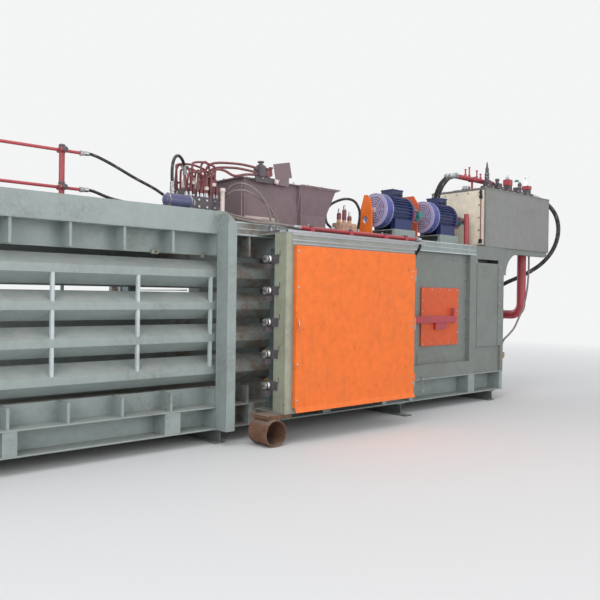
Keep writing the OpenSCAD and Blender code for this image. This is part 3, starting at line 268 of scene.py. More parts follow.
def blank(name):
    """A new material with nothing but a shader that is joined to its output."""
    material = bpy.data.materials.new(name)
    material.use_nodes = True
    material.node_tree.nodes.clear()
    tree = Tree(material.node_tree)
    shader = tree.add("ShaderNodeBsdfPrincipled")
    tree.feed(tree.add("ShaderNodeOutputMaterial").inputs["Surface"], shader.outputs[0])
    return material, tree, shader


def paint(name, colour, rough=0.42, wear=0.5, width=0.005, patches=0.45, runs=0.35, dust=0.45,
          rust=0.15, under=RUST_BROWN, stain_and_shade=None, second=None):
    """Sprayed shop paint on steel: worn edges, oily dirt, runs, dust on top and a little rust.

    The stain mask lays brown: dirt, and on the walls beside the spools painted shade too; second is what makes
    a mask, and the colour that lies there: a second paint, and on the fan covers' sides painted shade."""
    material, t, shader = blank(name)
    skin = placed(t, "skin", Grain=380.0, Waves=2.6)
    dirt = placed(t, "grime", Scale=2.3, Patches=patches, Runs=runs)["Mask"]
    blooms = placed(t, "rust", Scale=8.0, Amount=rust)["Mask"]
    edges = placed(t, "edge_wear", Width=width, Breakup=55.0, Amount=wear)["Mask"]
    settled = placed(t, "dust", Amount=dust)["Mask"]
    if second:
        where, other = second
        colour = t.blend(where(t), colour, other)
    dirty_and_shaded = t.blend(dirt, t.toned(colour, skin["Tone"]), GRIME_BROWN)
    if stain_and_shade:
        # Brown from the stain mask: dirt, and beside the spools painted shade
        dirty_and_shaded = t.blend(stain_and_shade(t), dirty_and_shaded, RUST_BROWN)
    worn = t.blend(edges, t.blend(blooms, dirty_and_shaded, RUST_BROWN), under)
    dull = t.times(t.plus(dirt, settled, blooms, clamp=True), 0.35)
    height = t.math("SUBTRACT", skin["Height"], t.times(t.plus(edges, blooms), 0.3))
    t.coat(shader, t.blend(settled, worn, DUST_PALE), t.plus(skin["Rough"], rough, dull, clamp=True),
           height, 0.25, 0.0022)
    return material


def metal(name, colour, rough=0.35, rust=0.2, brush=(2.0, 2.0, 90.0), dust=0.3, dirt=0.3):
    """Bare steel: drawn or rolled grain, stains, some rust and dust."""
    material, t, shader = blank(name)
    grain = t.noise(t.stretched(t.place(), brush), 6.0, 4.0, 0.6)
    stains = placed(t, "grime", Scale=4.0, Patches=dirt, Runs=dirt)["Mask"]
    blooms = placed(t, "rust", Scale=11.0, Amount=rust)["Mask"]
    settled = placed(t, "dust", Amount=dust)["Mask"]
    stained = t.blend(stains, t.toned(colour, t.span(grain, 0.3, 0.7, 0.82, 1.08)), GRIME_BROWN)
    rusty = t.blend(blooms, stained, RUST_BROWN)
    cover = t.plus(stains, blooms, settled, clamp=True)
    t.feed(shader.inputs["Metallic"], t.math("SUBTRACT", 1.0, cover))
    polish = t.span(grain, 0.2, 0.8, rough - 0.07, rough + 0.1)
    t.coat(shader, t.blend(settled, rusty, DUST_PALE), t.plus(polish, t.times(cover, 0.4), clamp=True),
           t.plus(grain, blooms), 0.2, 0.001)
    return material


def rubber(name, colour, rough=0.62):
    """Hose rubber: fine wrapped texture, scuffs and dust."""
    material, t, shader = blank(name)
    place = t.place()
    scuffs = t.span(t.noise(place, 22.0, 6.0, 0.65), 0.5, 0.7)
    settled = placed(t, "dust", Amount=0.5)["Mask"]
    scuffed = t.blend(t.times(scuffs, 0.35), colour, DUST_PALE)
    t.coat(shader, t.blend(settled, scuffed, DUST_PALE), t.plus(t.times(scuffs, 0.15), rough),
           t.noise(place, 260.0, 2.0, 0.5), 0.3, 0.001)
    return material


def casting(name, colour, dirt=0.5):
    """Sand-cast or forged surface under thin paint: pits, oil film and worn corners."""
    material, t, shader = blank(name)
    pits = t.noise(t.place(), 150.0, 4.0, 0.7)
    oil = placed(t, "grime", Scale=9.0, Patches=dirt, Runs=dirt)["Mask"]
    edges = placed(t, "edge_wear", Width=0.003, Breakup=90.0, Amount=0.4)["Mask"]
    settled = placed(t, "dust", Amount=0.4)["Mask"]
    oiled = t.blend(oil, t.toned(colour, t.span(pits, 0.25, 0.75, 0.8, 1.15)), GRIME_BROWN)
    worn = t.blend(edges, oiled, BARE_STEEL)
    t.feed(shader.inputs["Metallic"], t.times(edges, 0.8))
    rough = t.math("SUBTRACT", t.plus(t.times(settled, 0.3), 0.55), t.times(oil, 0.2), clamp=True)
    t.coat(shader, t.blend(settled, worn, DUST_PALE), rough, pits, 0.35, 0.0012)
    return material


def rusted(name, colour):
    """Old scaffold-thick tube, brown all over, with darker scale and paler dust."""
    material, t, shader = blank(name)
    place = t.place()
    scale = t.noise(place, 34.0, 8.0, 0.7)
    broad = t.span(t.noise(place, 6.0, 5.0, 0.6), 0.4, 0.7, 0.0, 0.6)
    warm = t.blend(broad, t.blend(t.span(scale, 0.35, 0.65), RUST_DARK, colour), RUST_WARM)
    settled = placed(t, "dust", Amount=0.5)["Mask"]
    t.coat(shader, t.blend(settled, warm, DUST_PALE), t.span(scale, 0.3, 0.7, 0.75, 0.95), scale, 0.6, 0.002)
    return material


def spool_dirt(t):
    """Brown patches on the recessed walls beside the wire spools: dirt, and painted shade of the recess."""
    low, high, fade = 0.10, 0.62, 0.12
    place = t.place()
    along = t.part(place, "X")
    near = t.times(t.span(along, low, low + fade), t.span(along, high, high - fade))
    return t.times(near, t.span(t.noise(place, 12.0, 6.0, 0.65), 0.40, 0.62), 0.75, clamp=True)


def round_the_side(t):
    """Every face of a fan cover except its grid, which looks towards the outlet end: where the darker blue lies
    as painted shade.
    """
    return t.span(t.part(t.normal(), "X"), -0.85, -0.5)


def on_the_hatch(t):
    """The part of the orange paint that lies on the small hatch."""
    return t.math("GREATER_THAN", t.part(t.place(), "X"), HATCH_FROM_X)


def on_the_tank(t):
    """The part of the press's paint that lies on the oil tank, above the roof and past the motors."""
    past = t.math("GREATER_THAN", t.part(t.place(), "X"), TANK_FROM_X)
    return t.times(past, t.math("GREATER_THAN", t.part(t.place(), "Z"), ROOF_TOP_Z))


def door_streaks(t):
    """Faint brown streaks low on the door's middle."""
    place = t.place()
    streaks = t.span(t.noise(t.stretched(place, (9.0, 9.0, 1.3)), 1.0, 5.0, 0.6), 0.54, 0.76)
    return t.times(streaks, t.span(t.part(place, "Z"), 1.5, 0.7), 0.30, clamp=True)


FINE = dict(width=0.002, under=BARE_STEEL)
LOOKS = {
    # Frame: the brown beside the spools is dirt and painted shade
    "frame_paint": (paint, FRAME_GREY, dict(stain_and_shade=spool_dirt)),
    "press_paint": (paint, PRESS_GREY, dict(rough=0.38, patches=0.35, second=(on_the_tank, TANK_GREY))),
    # Bars: lighter grey as painted highlight
    "bright_bars": (paint, BAR_LIT_GREY, dict(wear=0.7, width=0.004, patches=0.3)),
    "skid_paint": (paint, SKID_GREY, dict(rough=0.6, dust=0.7, rust=0.35)),
    "worn_steel": (metal, WORN_STEEL, dict(rough=0.4, brush=(1.0, 60.0, 60.0), rust=0.45)),
    "hopper_paint": (paint, HOPPER_MAUVE, dict(rough=0.5, wear=0.8, rust=0.25, under=BARE_STEEL)),
    "cabinet_paint": (paint, CABINET_GREEN, dict(rough=0.35)),
    "cream_paint": (paint, POST_CREAM, dict(rough=0.4, runs=0.6)),
    "plain_steel": (metal, BARE_STEEL, dict(rough=0.3, brush=(1.0, 70.0, 70.0), rust=0.12)),
    "red_paint": (paint, PIPE_RED, dict(rough=0.35, width=0.003, dust=0.5, under=BARE_STEEL)),
    "valve_metal": (casting, VALVE_DARK, {}),
    "motor_blue": (paint, MOTOR_BLUE, dict(FINE, rough=0.36, wear=0.4, dust=0.18, rust=0.05)),
    # Fan covers: the lilac grid is painted light, the darker blue sides are painted shade
    "cover_lilac": (paint, COVER_LIT_LILAC, dict(FINE, rough=0.3, wear=0.3, dust=0.15, rust=0.05,
                                             second=(round_the_side, COVER_SHADED_BLUE))),
    # Rings on the fan covers: pale lilac as painted highlight
    "cover_rim": (paint, COVER_RIM_HIGHLIGHT, dict(FINE, rough=0.3, wear=0.3, dust=0.1, rust=0.05)),
    "pipe_brown": (paint, PIPE_BROWN, dict(FINE, rough=0.4, wear=0.6, dust=0.4, rust=0.4)),
    "accumulator_paint": (paint, ACCUMULATOR_BLUE, dict(FINE, rough=0.35, wear=0.4, dust=0.25)),
    "relief_cream": (casting, RELIEF_CREAM, dict(dirt=0.9)),
    # Tank end cover: pale cream as painted light
    "end_cover_cream": (paint, END_COVER_LIT_CREAM, dict(rough=0.4, patches=0.15, runs=0.15, dust=0.1)),
    # Hopper edge strips: pale pink as painted highlight
    "rim_pink": (paint, RIM_HIGHLIGHT_PINK, dict(rough=0.45, wear=0.6, width=0.002, rust=0.3)),
    "warm_white": (paint, WARM_WHITE, dict(rough=0.4, wear=0.4, width=0.002, patches=0.5, dust=0.2)),
    "pump_teal": (casting, PUMP_TEAL, {}),
    "orange_paint": (paint, DOOR_ORANGE, dict(rough=0.34, patches=0.10, runs=0.22, dust=0.15, rust=0.04,
                                              stain_and_shade=door_streaks, second=(on_the_hatch, HATCH_ORANGE))),
    "black_rubber": (rubber, HOSE_BLACK, {}),
    "pale_rubber": (rubber, HOSE_PALE, dict(rough=0.5)),
    "rusty_steel": (rusted, RUST_BROWN, {}),
    "case_paint": (paint, CASE_GREEN, dict(rough=0.45)),
    "yellow_paint": (paint, SIGNAL_YELLOW, dict(FINE, rough=0.4)),
    "ram_steel": (metal, WORN_STEEL, dict(rough=0.42, brush=(1.0, 50.0, 50.0), rust=0.6)),
    "chrome_rod": (metal, CHROME, dict(rough=0.12, brush=(1.0, 90.0, 90.0), rust=0.0, dust=0.1, dirt=0.1)),
    # Guide rollers: near-white steel as painted highlight
    "roller_steel": (metal, ROLLER_HIGHLIGHT_WHITE, dict(rough=0.42, brush=(60.0, 6.0, 6.0), rust=0.02,
                                                dust=0.15, dirt=0.15)),
}
MATERIALS = {name: make(name, colour, **look) for name, (make, colour, look) in LOOKS.items()}

for part in frame["record"]["subparts"]:
    slots = NODES[part["node"]].data.materials
    slots.clear()
    slots.append(MATERIALS[part["material_slot"]])


class Shape:
    """Gathers the solids of one piece, and turns them into an object that rides on a body.

    Everything is in millimetres, as in part.scad, and is measured from self.at."""

    def __init__(self):
        self.mesh = bmesh.new()
        self.at = Vector((0, 0, 0))

    def block(self, low, high, bevel=2, turn=None, about=None):
        """A box with bevelled edges; turn is a matrix that turns it about a point."""
        low, high = Vector(low) + self.at, Vector(high) + self.at
        made = bmesh.ops.create_cube(self.mesh, size=1.0)["verts"]
        size = high - low
        place = Matrix.Translation((low + high) / 2) @ Matrix.Diagonal((*size, 1))
        if turn:
            centre = Matrix.Translation(Vector(about) + self.at if about else (low + high) / 2)
            place = centre @ turn.to_4x4() @ centre.inverted() @ place
        bmesh.ops.transform(self.mesh, matrix=place, verts=made)
        edges = list({e for v in made for e in v.link_edges})
        bmesh.ops.bevel(self.mesh, geom=edges, offset=min(bevel, min(size) * 0.3), segments=2, affect="EDGES")
        return self

    def blocks(self, bevel, *corners):
        """Boxes with the same bevel, from pairs of corners."""
        for low, high in corners:
            self.block(low, high, bevel)
        return self

    def ring(self, centre, side, other, radius, sides):
        """Points of the mesh, evenly round a centre."""
        return [self.mesh.verts.new(p) for p in around(centre, side, other, radius, sides, 0)]

    def skin(self, rings, closed=False):
        """Faces between neighbouring rings, and over both ends of an open row."""
        for below, above in zip(rings, rings[1:] + (rings[:1] if closed else [])):
            for k in range(len(below)):
                n = (k + 1) % len(below)
                self.mesh.faces.new((below[k], below[n], above[n], above[k]))
        if not closed:
            self.mesh.faces.new(rings[0][::-1])
            self.mesh.faces.new(rings[-1])
        return self

    def turned(self, foot, axis, profile, sides=24):
        """A turned part: profile is (distance from the foot, radius) along the axis."""
        foot, axis = Vector(foot) + self.at, Vector(axis).normalized()
        side = axis.orthogonal().normalized()
        other = axis.cross(side)
        rings = [self.ring(foot + axis * along, side, other, radius, sides) for along, radius in profile]
        return self.skin(rings)

    def head(self, foot, axis, radius, high, end, tip, sides=12, sunk=0):
        """A straight head whose edge tapers from its height to its end; sunk is its depth below the foot."""
        return self.turned(foot, axis, [(-sunk, radius), (high, radius), (end, tip)], sides)

    def bolt(self, foot, axis, across=17, high=10, washer=True):
        """A hexagon head on a washer, with its corners chamfered."""
        foot, axis = Vector(foot), Vector(axis).normalized()
        if washer:
            self.head(foot, axis, across * 0.95, 2, 2.5, across * 0.88, 16)
            foot = foot + axis * 2.4
        radius = across / math.sqrt(3)
        return self.head(foot, axis, radius, high * 0.8, high, radius * 0.86, 6)

    def bolts(self, places, axis, across=17, high=10, washer=True):
        for place in places:
            self.bolt(place, axis, across, high, washer)
        return self

    def bar(self, points, radius, sides=12, closed=False):
        """A round bar along a line of points; radius is one number or one for each point."""
        points = [Vector(p) + self.at for p in points]
        radii = radius if isinstance(radius, list) else [radius] * len(points)
        last = len(points) - 1
        side, rings = None, []
        for k, point in enumerate(points):
            before = points[k - 1] if k or closed else point
            after = points[(k + 1) % len(points)] if k < last or closed else point
            along = (after - before).normalized()
            side = (side - along * side.dot(along) if side else along.orthogonal()).normalized()
            rings.append(self.ring(point, side, along.cross(side), radii[k], sides))
        return self.skin(rings, closed)

    def seam(self, start, end, size=6, step=11):
        """A weld seam with its ripples."""
        start, end = Vector(start), Vector(end)
        count = max(3, math.ceil((end - start).length / step) - 1)
        points = [start.lerp(end, k / count) for k in range(count + 1)]
        return self.bar(points, [size * (1.0 if k % 2 else 0.78) for k in range(count + 1)], 6)

    def hoop(self, centre, axis, radius, wire, sides=32):
        """A ring of round wire."""
        axis = Vector(axis).normalized()
        side = axis.orthogonal().normalized()
        return self.bar(around(centre, side, axis.cross(side), radius, sides, 0), wire, 8, True)

    def done(self, name, material, body="frame", slot=None, replaced=(), both_sides=False):
        """Makes the object, with smooth faces and sharp corners, and ties it to its body."""
        if both_sides:
            whole = self.mesh.verts[:] + self.mesh.edges[:] + self.mesh.faces[:]
            copied = bmesh.ops.duplicate(self.mesh, geom=whole)["geom"]
            verts = [v for v in copied if isinstance(v, bmesh.types.BMVert)]
            bmesh.ops.scale(self.mesh, vec=(1, -1, 1), verts=verts)
        bmesh.ops.recalc_face_normals(self.mesh, faces=self.mesh.faces[:])
        bmesh.ops.scale(self.mesh, vec=(0.001, 0.001, 0.001), verts=self.mesh.verts[:])
        data = bpy.data.meshes.new(name)
        self.mesh.to_mesh(data)
        self.mesh.free()
        data.shade_smooth()
        data.set_sharp_from_angle(angle=math.radians(38))
        data.materials.append(MATERIALS[material])
        thing = bpy.data.objects.new(name, data)
        bpy.context.scene.collection.objects.link(thing)
        if replaced:
            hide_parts(*replaced)
        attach(thing, body)
        return thing


def shapes(count):
    return [Shape() for _ in range(count)]


def move(group, at):
    """Sets the place from which the next solids of these shapes are given."""
    for shape in group:
        shape.at = Vector(at)


def box(node):
    """The corners of a CAD piece's box, in millimetres."""
    low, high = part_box(node)
    return low * 1000, high * 1000


def around(centre, first, second, radius, count, start=0.5):
    """Even places round a centre, in the plane of two directions."""
    turns = [math.tau * (k + start) / count for k in range(count)]
    return [Vector(centre) + (first * math.cos(a) + second * math.sin(a)) * radius for a in turns]


def spaced(low, high, step):
    """Even places from low to high, about a step apart."""
    count = max(1, round((high - low) / step))
    return [low + (high - low) * k / count for k in range(count + 1)]


def rim_places(low, high, starts, insets, steps):
    """Places along two sides of a rectangle and then its other two, from distances to its corners."""
    rows = [(a, b) for a in spaced(low[0] + starts[0], high[0] - starts[0], steps[0])
            for b in (low[1] + insets[1], high[1] - insets[1])]
    return rows + [(a, b) for b in spaced(low[1] + starts[1], high[1] - starts[1], steps[1])
                   for a in (low[0] + insets[0], high[0] - insets[0])]


X, Y, Z = Vector((1, 0, 0)), Vector((0, 1, 0)), Vector((0, 0, 1))

# Profile of a flat round screw head: distance from its foot, radius
SCREW_HEAD = [(0, 8), (4, 8), (6, 5)]

# Hoses: diameter and route of each, near the routes of the CAD model's hoses
BLACK_HOSES = {
    "outlet_hose_upper": (24, [(-1100, -440, 2285), (-1000, -440, 2285), (-850, -435, 2240), (-650, -430, 2160),
        (-450, -420, 2090), (-290, -405, 2020), (-200, -405, 2020)]),
    "outlet_hose_lower": (24, [(-1100, -440, 2010), (-1000, -440, 2010), (-850, -460, 1965), (-650, -480, 1940),
        (-450, -475, 1945), (-290, -455, 1975), (-200, -455, 1975)]),
    "return_hose_back": (44, [(3570, -150, 2040), (3570, -155, 2108), (3570, -170, 2177), (3565, -192, 2245),
        (3537, -220, 2307), (3489, -252, 2356), (3442, -285, 2404), (3415, -318, 2467), (3412, -350, 2535),
        (3432, -378, 2600), (3475, -400, 2653), (3533, -415, 2688), (3600, -420, 2700)]),
    "return_hose_front": (44, [(3640, -150, 2040), (3640, -156, 2112), (3639, -174, 2184), (3617, -202, 2252),
        (3572, -236, 2307), (3510, -274, 2343), (3454, -315, 2388), (3420, -356, 2450), (3410, -394, 2521),
        (3428, -428, 2590), (3470, -456, 2648), (3530, -474, 2687), (3600, -480, 2700)]),
    "cylinder_hose": (56, [(5180, -550, 2596), (5355, -576, 2580), (5493, -636, 2511), (5583, -691, 2385),
        (5623, -714, 2219), (5620, -696, 2041), (5583, -637, 1873), (5519, -541, 1729), (5433, -419, 1616),
        (5330, -285, 1526), (5219, -157, 1445), (5118, -54, 1346), (5060, 0, 1194)]),
    "press_hose_low": (30, [(2140, -1040, 1815), (2186, -1038, 1811), (2227, -1029, 1797), (2259, -1012, 1774),
        (2282, -988, 1744), (2294, -959, 1710), (2298, -928, 1675), (2294, -896, 1640), (2285, -862, 1607),
        (2273, -827, 1578), (2261, -788, 1557), (2253, -746, 1544), (2250, -700, 1540)]),
    "press_hose_high": (30, [(2140, -980, 1815), (2170, -976, 1812), (2198, -964, 1804), (2222, -946, 1791),
        (2240, -922, 1775), (2251, -894, 1757), (2255, -864, 1737), (2251, -834, 1718), (2239, -807, 1700),
        (2221, -783, 1684), (2203, -758, 1671), (2193, -730, 1663), (2190, -700, 1660)]),
    "accumulator_hose": (26, [(-400, -610, 2060), (-401, -609, 2115), (-401, -606, 2170), (-396, -597, 2223),
        (-383, -582, 2273), (-361, -561, 2316), (-331, -534, 2350), (-294, -504, 2371), (-253, -473, 2378),
        (-214, -445, 2368), (-182, -423, 2342), (-160, -408, 2301), (-150, -400, 2250)]),
    "relief_hose": (26, [(1560, -500, 1910), (1500, -500, 1914), (1440, -487, 1965), (1430, -485, 2060),
        (1475, -515, 2145), (1580, -585, 2200), (1700, -610, 2190), (1800, -590, 2110), (1850, -545, 2000),
        (1860, -520, 1920), (1860, -520, 1850)]),
}
THIN_HOSES = {
    "cabinet_hose_1": (18, [(120, -360, 2010), (177, -394, 2039), (198, -448, 2087), (204, -516, 2136),
        (211, -589, 2172), (228, -659, 2186), (259, -721, 2176), (301, -769, 2143), (346, -802, 2092),
        (389, -821, 2026), (423, -829, 1951), (444, -830, 1870), (450, -830, 1787)]),
    "cabinet_hose_2": (18, [(120, -420, 1990), (164, -459, 2019), (175, -516, 2061), (181, -580, 2099),
        (198, -642, 2123), (233, -695, 2126), (283, -737, 2109), (339, -769, 2076), (396, -793, 2033),
        (448, -811, 1983), (489, -823, 1924), (513, -829, 1859), (520, -830, 1787)]),
    "cabinet_hose_3": (22, [(120, -465, 1965), (155, -512, 1953), (170, -570, 1935), (183, -629, 1916),
        (208, -683, 1900), (247, -730, 1887), (293, -774, 1877), (341, -816, 1867), (389, -857, 1856),
        (438, -898, 1843), (487, -936, 1830), (540, -965, 1820), (600, -980, 1815)]),
    "cabinet_hose_4": (22, [(120, -500, 1945), (148, -554, 1927), (161, -613, 1906), (176, -672, 1887),
        (204, -727, 1871), (243, -776, 1859), (289, -821, 1849), (337, -866, 1843), (385, -911, 1838),
        (433, -954, 1832), (484, -994, 1825), (539, -1025, 1819), (600, -1040, 1815)]),
    "drain_hose": (24, [(5000, -640, 1850), (5000, -640, 1790), (4990, -645, 1600), (4940, -655, 1350),
        (4840, -665, 1130), (4710, -675, 980), (4590, -685, 860), (4460, -690, 780), (4350, -690, 720),
        (4300, -690, 650), (4290, -690, 560)]),
}
SPAN_STEPS = 8


def smooth_line(points):
    """The smooth curve through a hose's or a pipe's points, in short steps."""
    points = [Vector(p) for p in points]
    line = []
    for k in range(len(points) - 1):
        a, b, c, d = points[max(k - 1, 0)], points[k], points[k + 1], points[min(k + 2, len(points) - 1)]
        for j in range(SPAN_STEPS):
            u = j / SPAN_STEPS
            bent = u * u * (2 * a - 5 * b + 4 * c - d) + u ** 3 * (3 * b - a - 3 * c + d)
            line.append(0.5 * (2 * b + u * (c - a) + bent))
    return line + [points[-1]]


def hose_end(shape, port, toward, diameter):
    """A crimped ferrule and its two hexagons, from the port along the hose."""
    r = diameter / 2
    shape.head(port, toward, r * 1.7, r * 1.1, r * 1.25, r * 1.45, 6, sunk=2)
    shape.turned(port + toward * r * 1.25, toward, [(0, r * 1.2), (r * 0.4, r * 1.2)], 16)
    shape.head(port + toward * r * 1.6, toward, r * 1.55, r * 0.9, r, r * 1.4, 6)
    crimps = [(0, r * 1.15)]
    for k in range(5):
        start = 0.62 * k
        crimps += [(r * (start + along), r * out) for along, out in ((0.15, 1.42), (0.45, 1.42), (0.6, 1.25))]
    shape.turned(port + toward * r * 2.6, toward, crimps + [(r * 3.3, r * 1.05)], 20)


def lay_hoses(hoses, material, node):
    """Each hose as a tube on its route, with its fittings as one more piece."""
    fittings = Shape()
    for k, (name, (diameter, points)) in enumerate(hoses.items()):
        line = smooth_line(points)
        tube = Shape().bar(line, diameter / 2, 16)
        thing = tube.done(name, material, replaced=(node,) if k == 0 else ())
        hose_end(fittings, line[0], (line[1] - line[0]).normalized(), diameter)
        hose_end(fittings, line[-1], (line[-2] - line[-1]).normalized(), diameter)
    fittings.done(node + "_fittings", "plain_steel")


def weld_frame():
    """Weld seams where ribs, columns, beams and skids meet the frame, and on the tank and the hopper."""
    seams, near, tank, hopper = shapes(4)
    chamber_ribs = [-2140 + 417 * k for k in range(6)]
    for ribs, side in ((chamber_ribs, seams), ([120, 280, 600], near)):
        for rib in ribs:
            for x in (rib - 2, rib + 22):
                side.seam((x, -582, 1565), (x, -582, 1728), 4)
                side.seam((x, -582, 335), (x, -582, 445), 4)
    for x in (-47, 47):
        seams.seam((x, -752, 320), (x, -752, 1730))
        seams.seam((x, -752, 1740), (x, -752, 1880))
    for skid in (-2300, 0, 2300, 4000):
        for x in (skid - 60, skid + 60):
            seams.seam((x, -745, 121), (x, -600, 121))
    seams.seam((-2590, -750, 1733.5), (-50, -750, 1733.5), 3.5, 14)
    low, high = box("oil_tank")
    for x in (low.x, high.x):
        for y in (low.y, high.y):
            tank.seam((x, y, low.z + 10), (x, y, high.z - 4), 4)
    for y in (low.y, high.y):
        tank.seam((low.x, y, low.z + 4), (high.x, y, low.z + 4), 5)
    for y in (-558, 558):
        hopper.seam((340, y, 1853), (1350, y, 1853), 5)
    near.done("feed_weld_seams", "frame_paint")
    seams.done("frame_weld_seams", "frame_paint", both_sides=True)
    tank.done("tank_weld_seams", "press_paint")
    hopper.done("hopper_weld_seams", "hopper_paint")


def bolt_frame():
    """Bolts that hold the tank's lid and the panels on the press section's side."""
    lid, sides = shapes(2)
    low, high = box("oil_tank")
    lid_top = high.z + 8
    for x, y in rim_places(low.xy, high.xy, (20, 170), (20, 20), (160, 160)):
        lid.bolt((x, y, lid_top), Z)
    places = [(x, -700, z) for x in (2060, 3490) for z in spaced(560, 1660, 220)]
    places += [(x, -700, 1670) for x in spaced(2280, 3270, 330)]
    places += [(x, y, z) for z in spaced(720, 1600, 220) for x, y in ((3580, -700), (4140, -750))]
    sides.bolts(places, -Y, 19, 11)
    lid.done("tank_lid_bolts", "plain_steel")
    sides.done("side_bolts", "plain_steel")


def strip_edges():
    """Raised strips along the beams, the bay and the cabinet, and a black strip beside the door that is painted
    shadow.
    """
    # The strips on the beams take the bars' lighter grey: painted highlight
    for name, side, start in (("beam_strips_near", -1, 60), ("beam_strips_far", 1, 820)):
        strips = Shape()
        for low, high, away in ((1836, 1850, 756), (1733, 1748, 758), (1788, 1797, 754)):
            edges = sorted((749.5 * side, away * side))
            strips.block((start, edges[0], low), (3630, edges[1], high))
        strips.done(name, "bright_bars")
    angle, over, shadow_strip = shapes(3)
    for x in (4098, 3655):
        angle.block((x, -755, 665), (x + 14, -749.5, 1640))
    for front, low, high in ((-1136, 1736, 1752), (-1134, 1690, 1702), (-1137, 1660, 1672)):
        over.block((430, front, low), (2015, -1129.5, high))
    # Black strip along the press section's edge beside the door: painted shadow of the cabinet
    shadow_strip.block((2030, -706, 495), (2052, -699, 1725))
    angle.done("bay_edge_strips", "press_paint", both_sides=True)
    over.done("cabinet_drip_strips", "plain_steel")
    shadow_strip.done("press_edge_painted_shadow", "black_rubber")


# Angles in radians: the first rib of the bell housings, the rim valve's plate, a lever on the lid
FIRST_RIB_TURN = 0.3
PLATE_LEAN = -0.22
LEVER_LEAN = 0.6

# Ends of the motor shafts, at the fan covers, and the profiles of what sits on the motors
MOTOR_SHAFTS = ((2190, -440, 2160), (3040, -400, 2160))
CENTRE = Vector((0, 0, 0))
GLAND = [(0, 17), (12, 17), (14, 13), (30, 12), (36, 7)]
BREATHER = [(0, 14), (10, 14), (10, 9), (30, 9), (32, 13), (44, 13)]


def dress_motors():
    """Lids, glands, eyes and feet of the motors, pale rings on their fan covers as painted highlights, ports of
    their pumps.
    """
    kinds = steel, blue, black, teal, red, lilac = shapes(6)
    for shaft in MOTOR_SHAFTS:
        move(kinds, shaft)
        blue.block((192, -88, 225.5), (378, 88, 240), 6)
        steel.bolts([(x, y, 239) for x in (205, 365) for y in (-75, 75)], Z, 10, 6, False)
        for x in (240, 320):
            black.turned((x, -79, 185), -Y, GLAND, 6)
        eye = [(-20, 172), (-20, 200), (-12, 218), (12, 218), (20, 200), (20, 172)]
        steel.bar([(420, y, z) for y, z in eye], 6)
        for x in (200, 420):
            for y in (-125, 125):
                steel.bolt((x, y, -173), Z, 19, 11)
                blue.block((x - 28, y - 26, -202), (x + 28, y + 26, -172.5), 4)
        steel.bolts(around(X * 484, Y, Z, 134, 8), X, 15, 9)
        steel.bolts(around(X * 600, Y, Z, 74, 4), X, 13, 8)
        for outward in around(CENTRE, Y, Z, 1, 4):
            steel.turned(X * 55 + outward * 179.8, outward, SCREW_HEAD, 12)
        # Pale rings on the cover's front rim and where it meets the motor, and its centre boss in the same pale
        # colour: painted highlight
        lilac.hoop((6, 0, 0), X, 177.5, 4.5, 48)
        lilac.hoop((104, 0, 0), X, 179.5, 2.8, 48)
        lilac.head((1, 0, 0), -X, 30, 1, 3, 14, 24, sunk=4)
        red.hoop((484, 0, 0), X, 149, 3, 40)
        black.turned((535, -20, 106), Z, BREATHER, 12)
        for k in range(6):
            turn = Matrix.Rotation(math.tau * k / 6 + FIRST_RIB_TURN, 3, "X")
            red.block((503, -4, 100), (595, 4, 135), 2, turn, (500, 0, 0))
        teal.turned((640, 0, 0), X, [(0, 60), (8, 70), (52, 70), (60, 60)], 24)
        teal.block((632, -100, -36), (708, -78, 36), 5)
        ports = [(x, -100, z) for x in (644, 696) for z in (-26, 26)]
        steel.bolts(ports, -Y, 10, 7, False)
    steel.done("motor_bolts", "plain_steel")
    blue.done("motor_lids_and_feet", "motor_blue")
    black.done("motor_glands", "black_rubber")
    teal.done("pump_port_blocks", "pump_teal")
    red.done("bell_ribs", "red_paint")
    lilac.done("fan_cover_highlight_rings", "cover_rim", slot="cover_lilac")


def dress_manifold():
    """The manifold over the chamber: its legs, block, valves and coils."""
    kinds = iron, coils, steel = shapes(3)
    for x in (-190, 50):
        for y in (-500, -320):
            iron.block((x, y, 1744), (x + 40, y + 40, 1930.5), 3)
    iron.block((-200, -520, 1930), (120, -260, 2060), 6)
    for x in (-165, -85, -5, 75):
        steel.head((x, -521, 1970), -Y, 14, 8, 10, 11, 6, sunk=4)
        steel.head((x, -521, 2030), -Y, 10, 5, 6, 7, 16, sunk=4)
    for x in (-150, -70, 10, 80):
        move(kinds, (x, 0, 2000))
        iron.block((-30, -440, 59), (30, -330, 130), 4)
        for dx in (-21, 21):
            for y in (-430, -340):
                steel.head((dx, y, 129), Z, 6, 6, 7, 4)
        coils.block((-24, -424, 131), (24, -376, 196), 6)
        iron.turned((0, -400, 129), Z, [(0, 18), (75, 18), (76, 12), (116, 12), (121, 8)], 16)
        coils.turned((0, -400, 203), Z, [(0, 17), (12, 19), (22, 19), (28, 12)], 16)
        coils.block((-22, -331, 72), (22, -272, 118), 6)
        iron.head((0, -273, 95), Y, 12, 18, 22, 8)
    move(kinds, CENTRE)
    return kinds


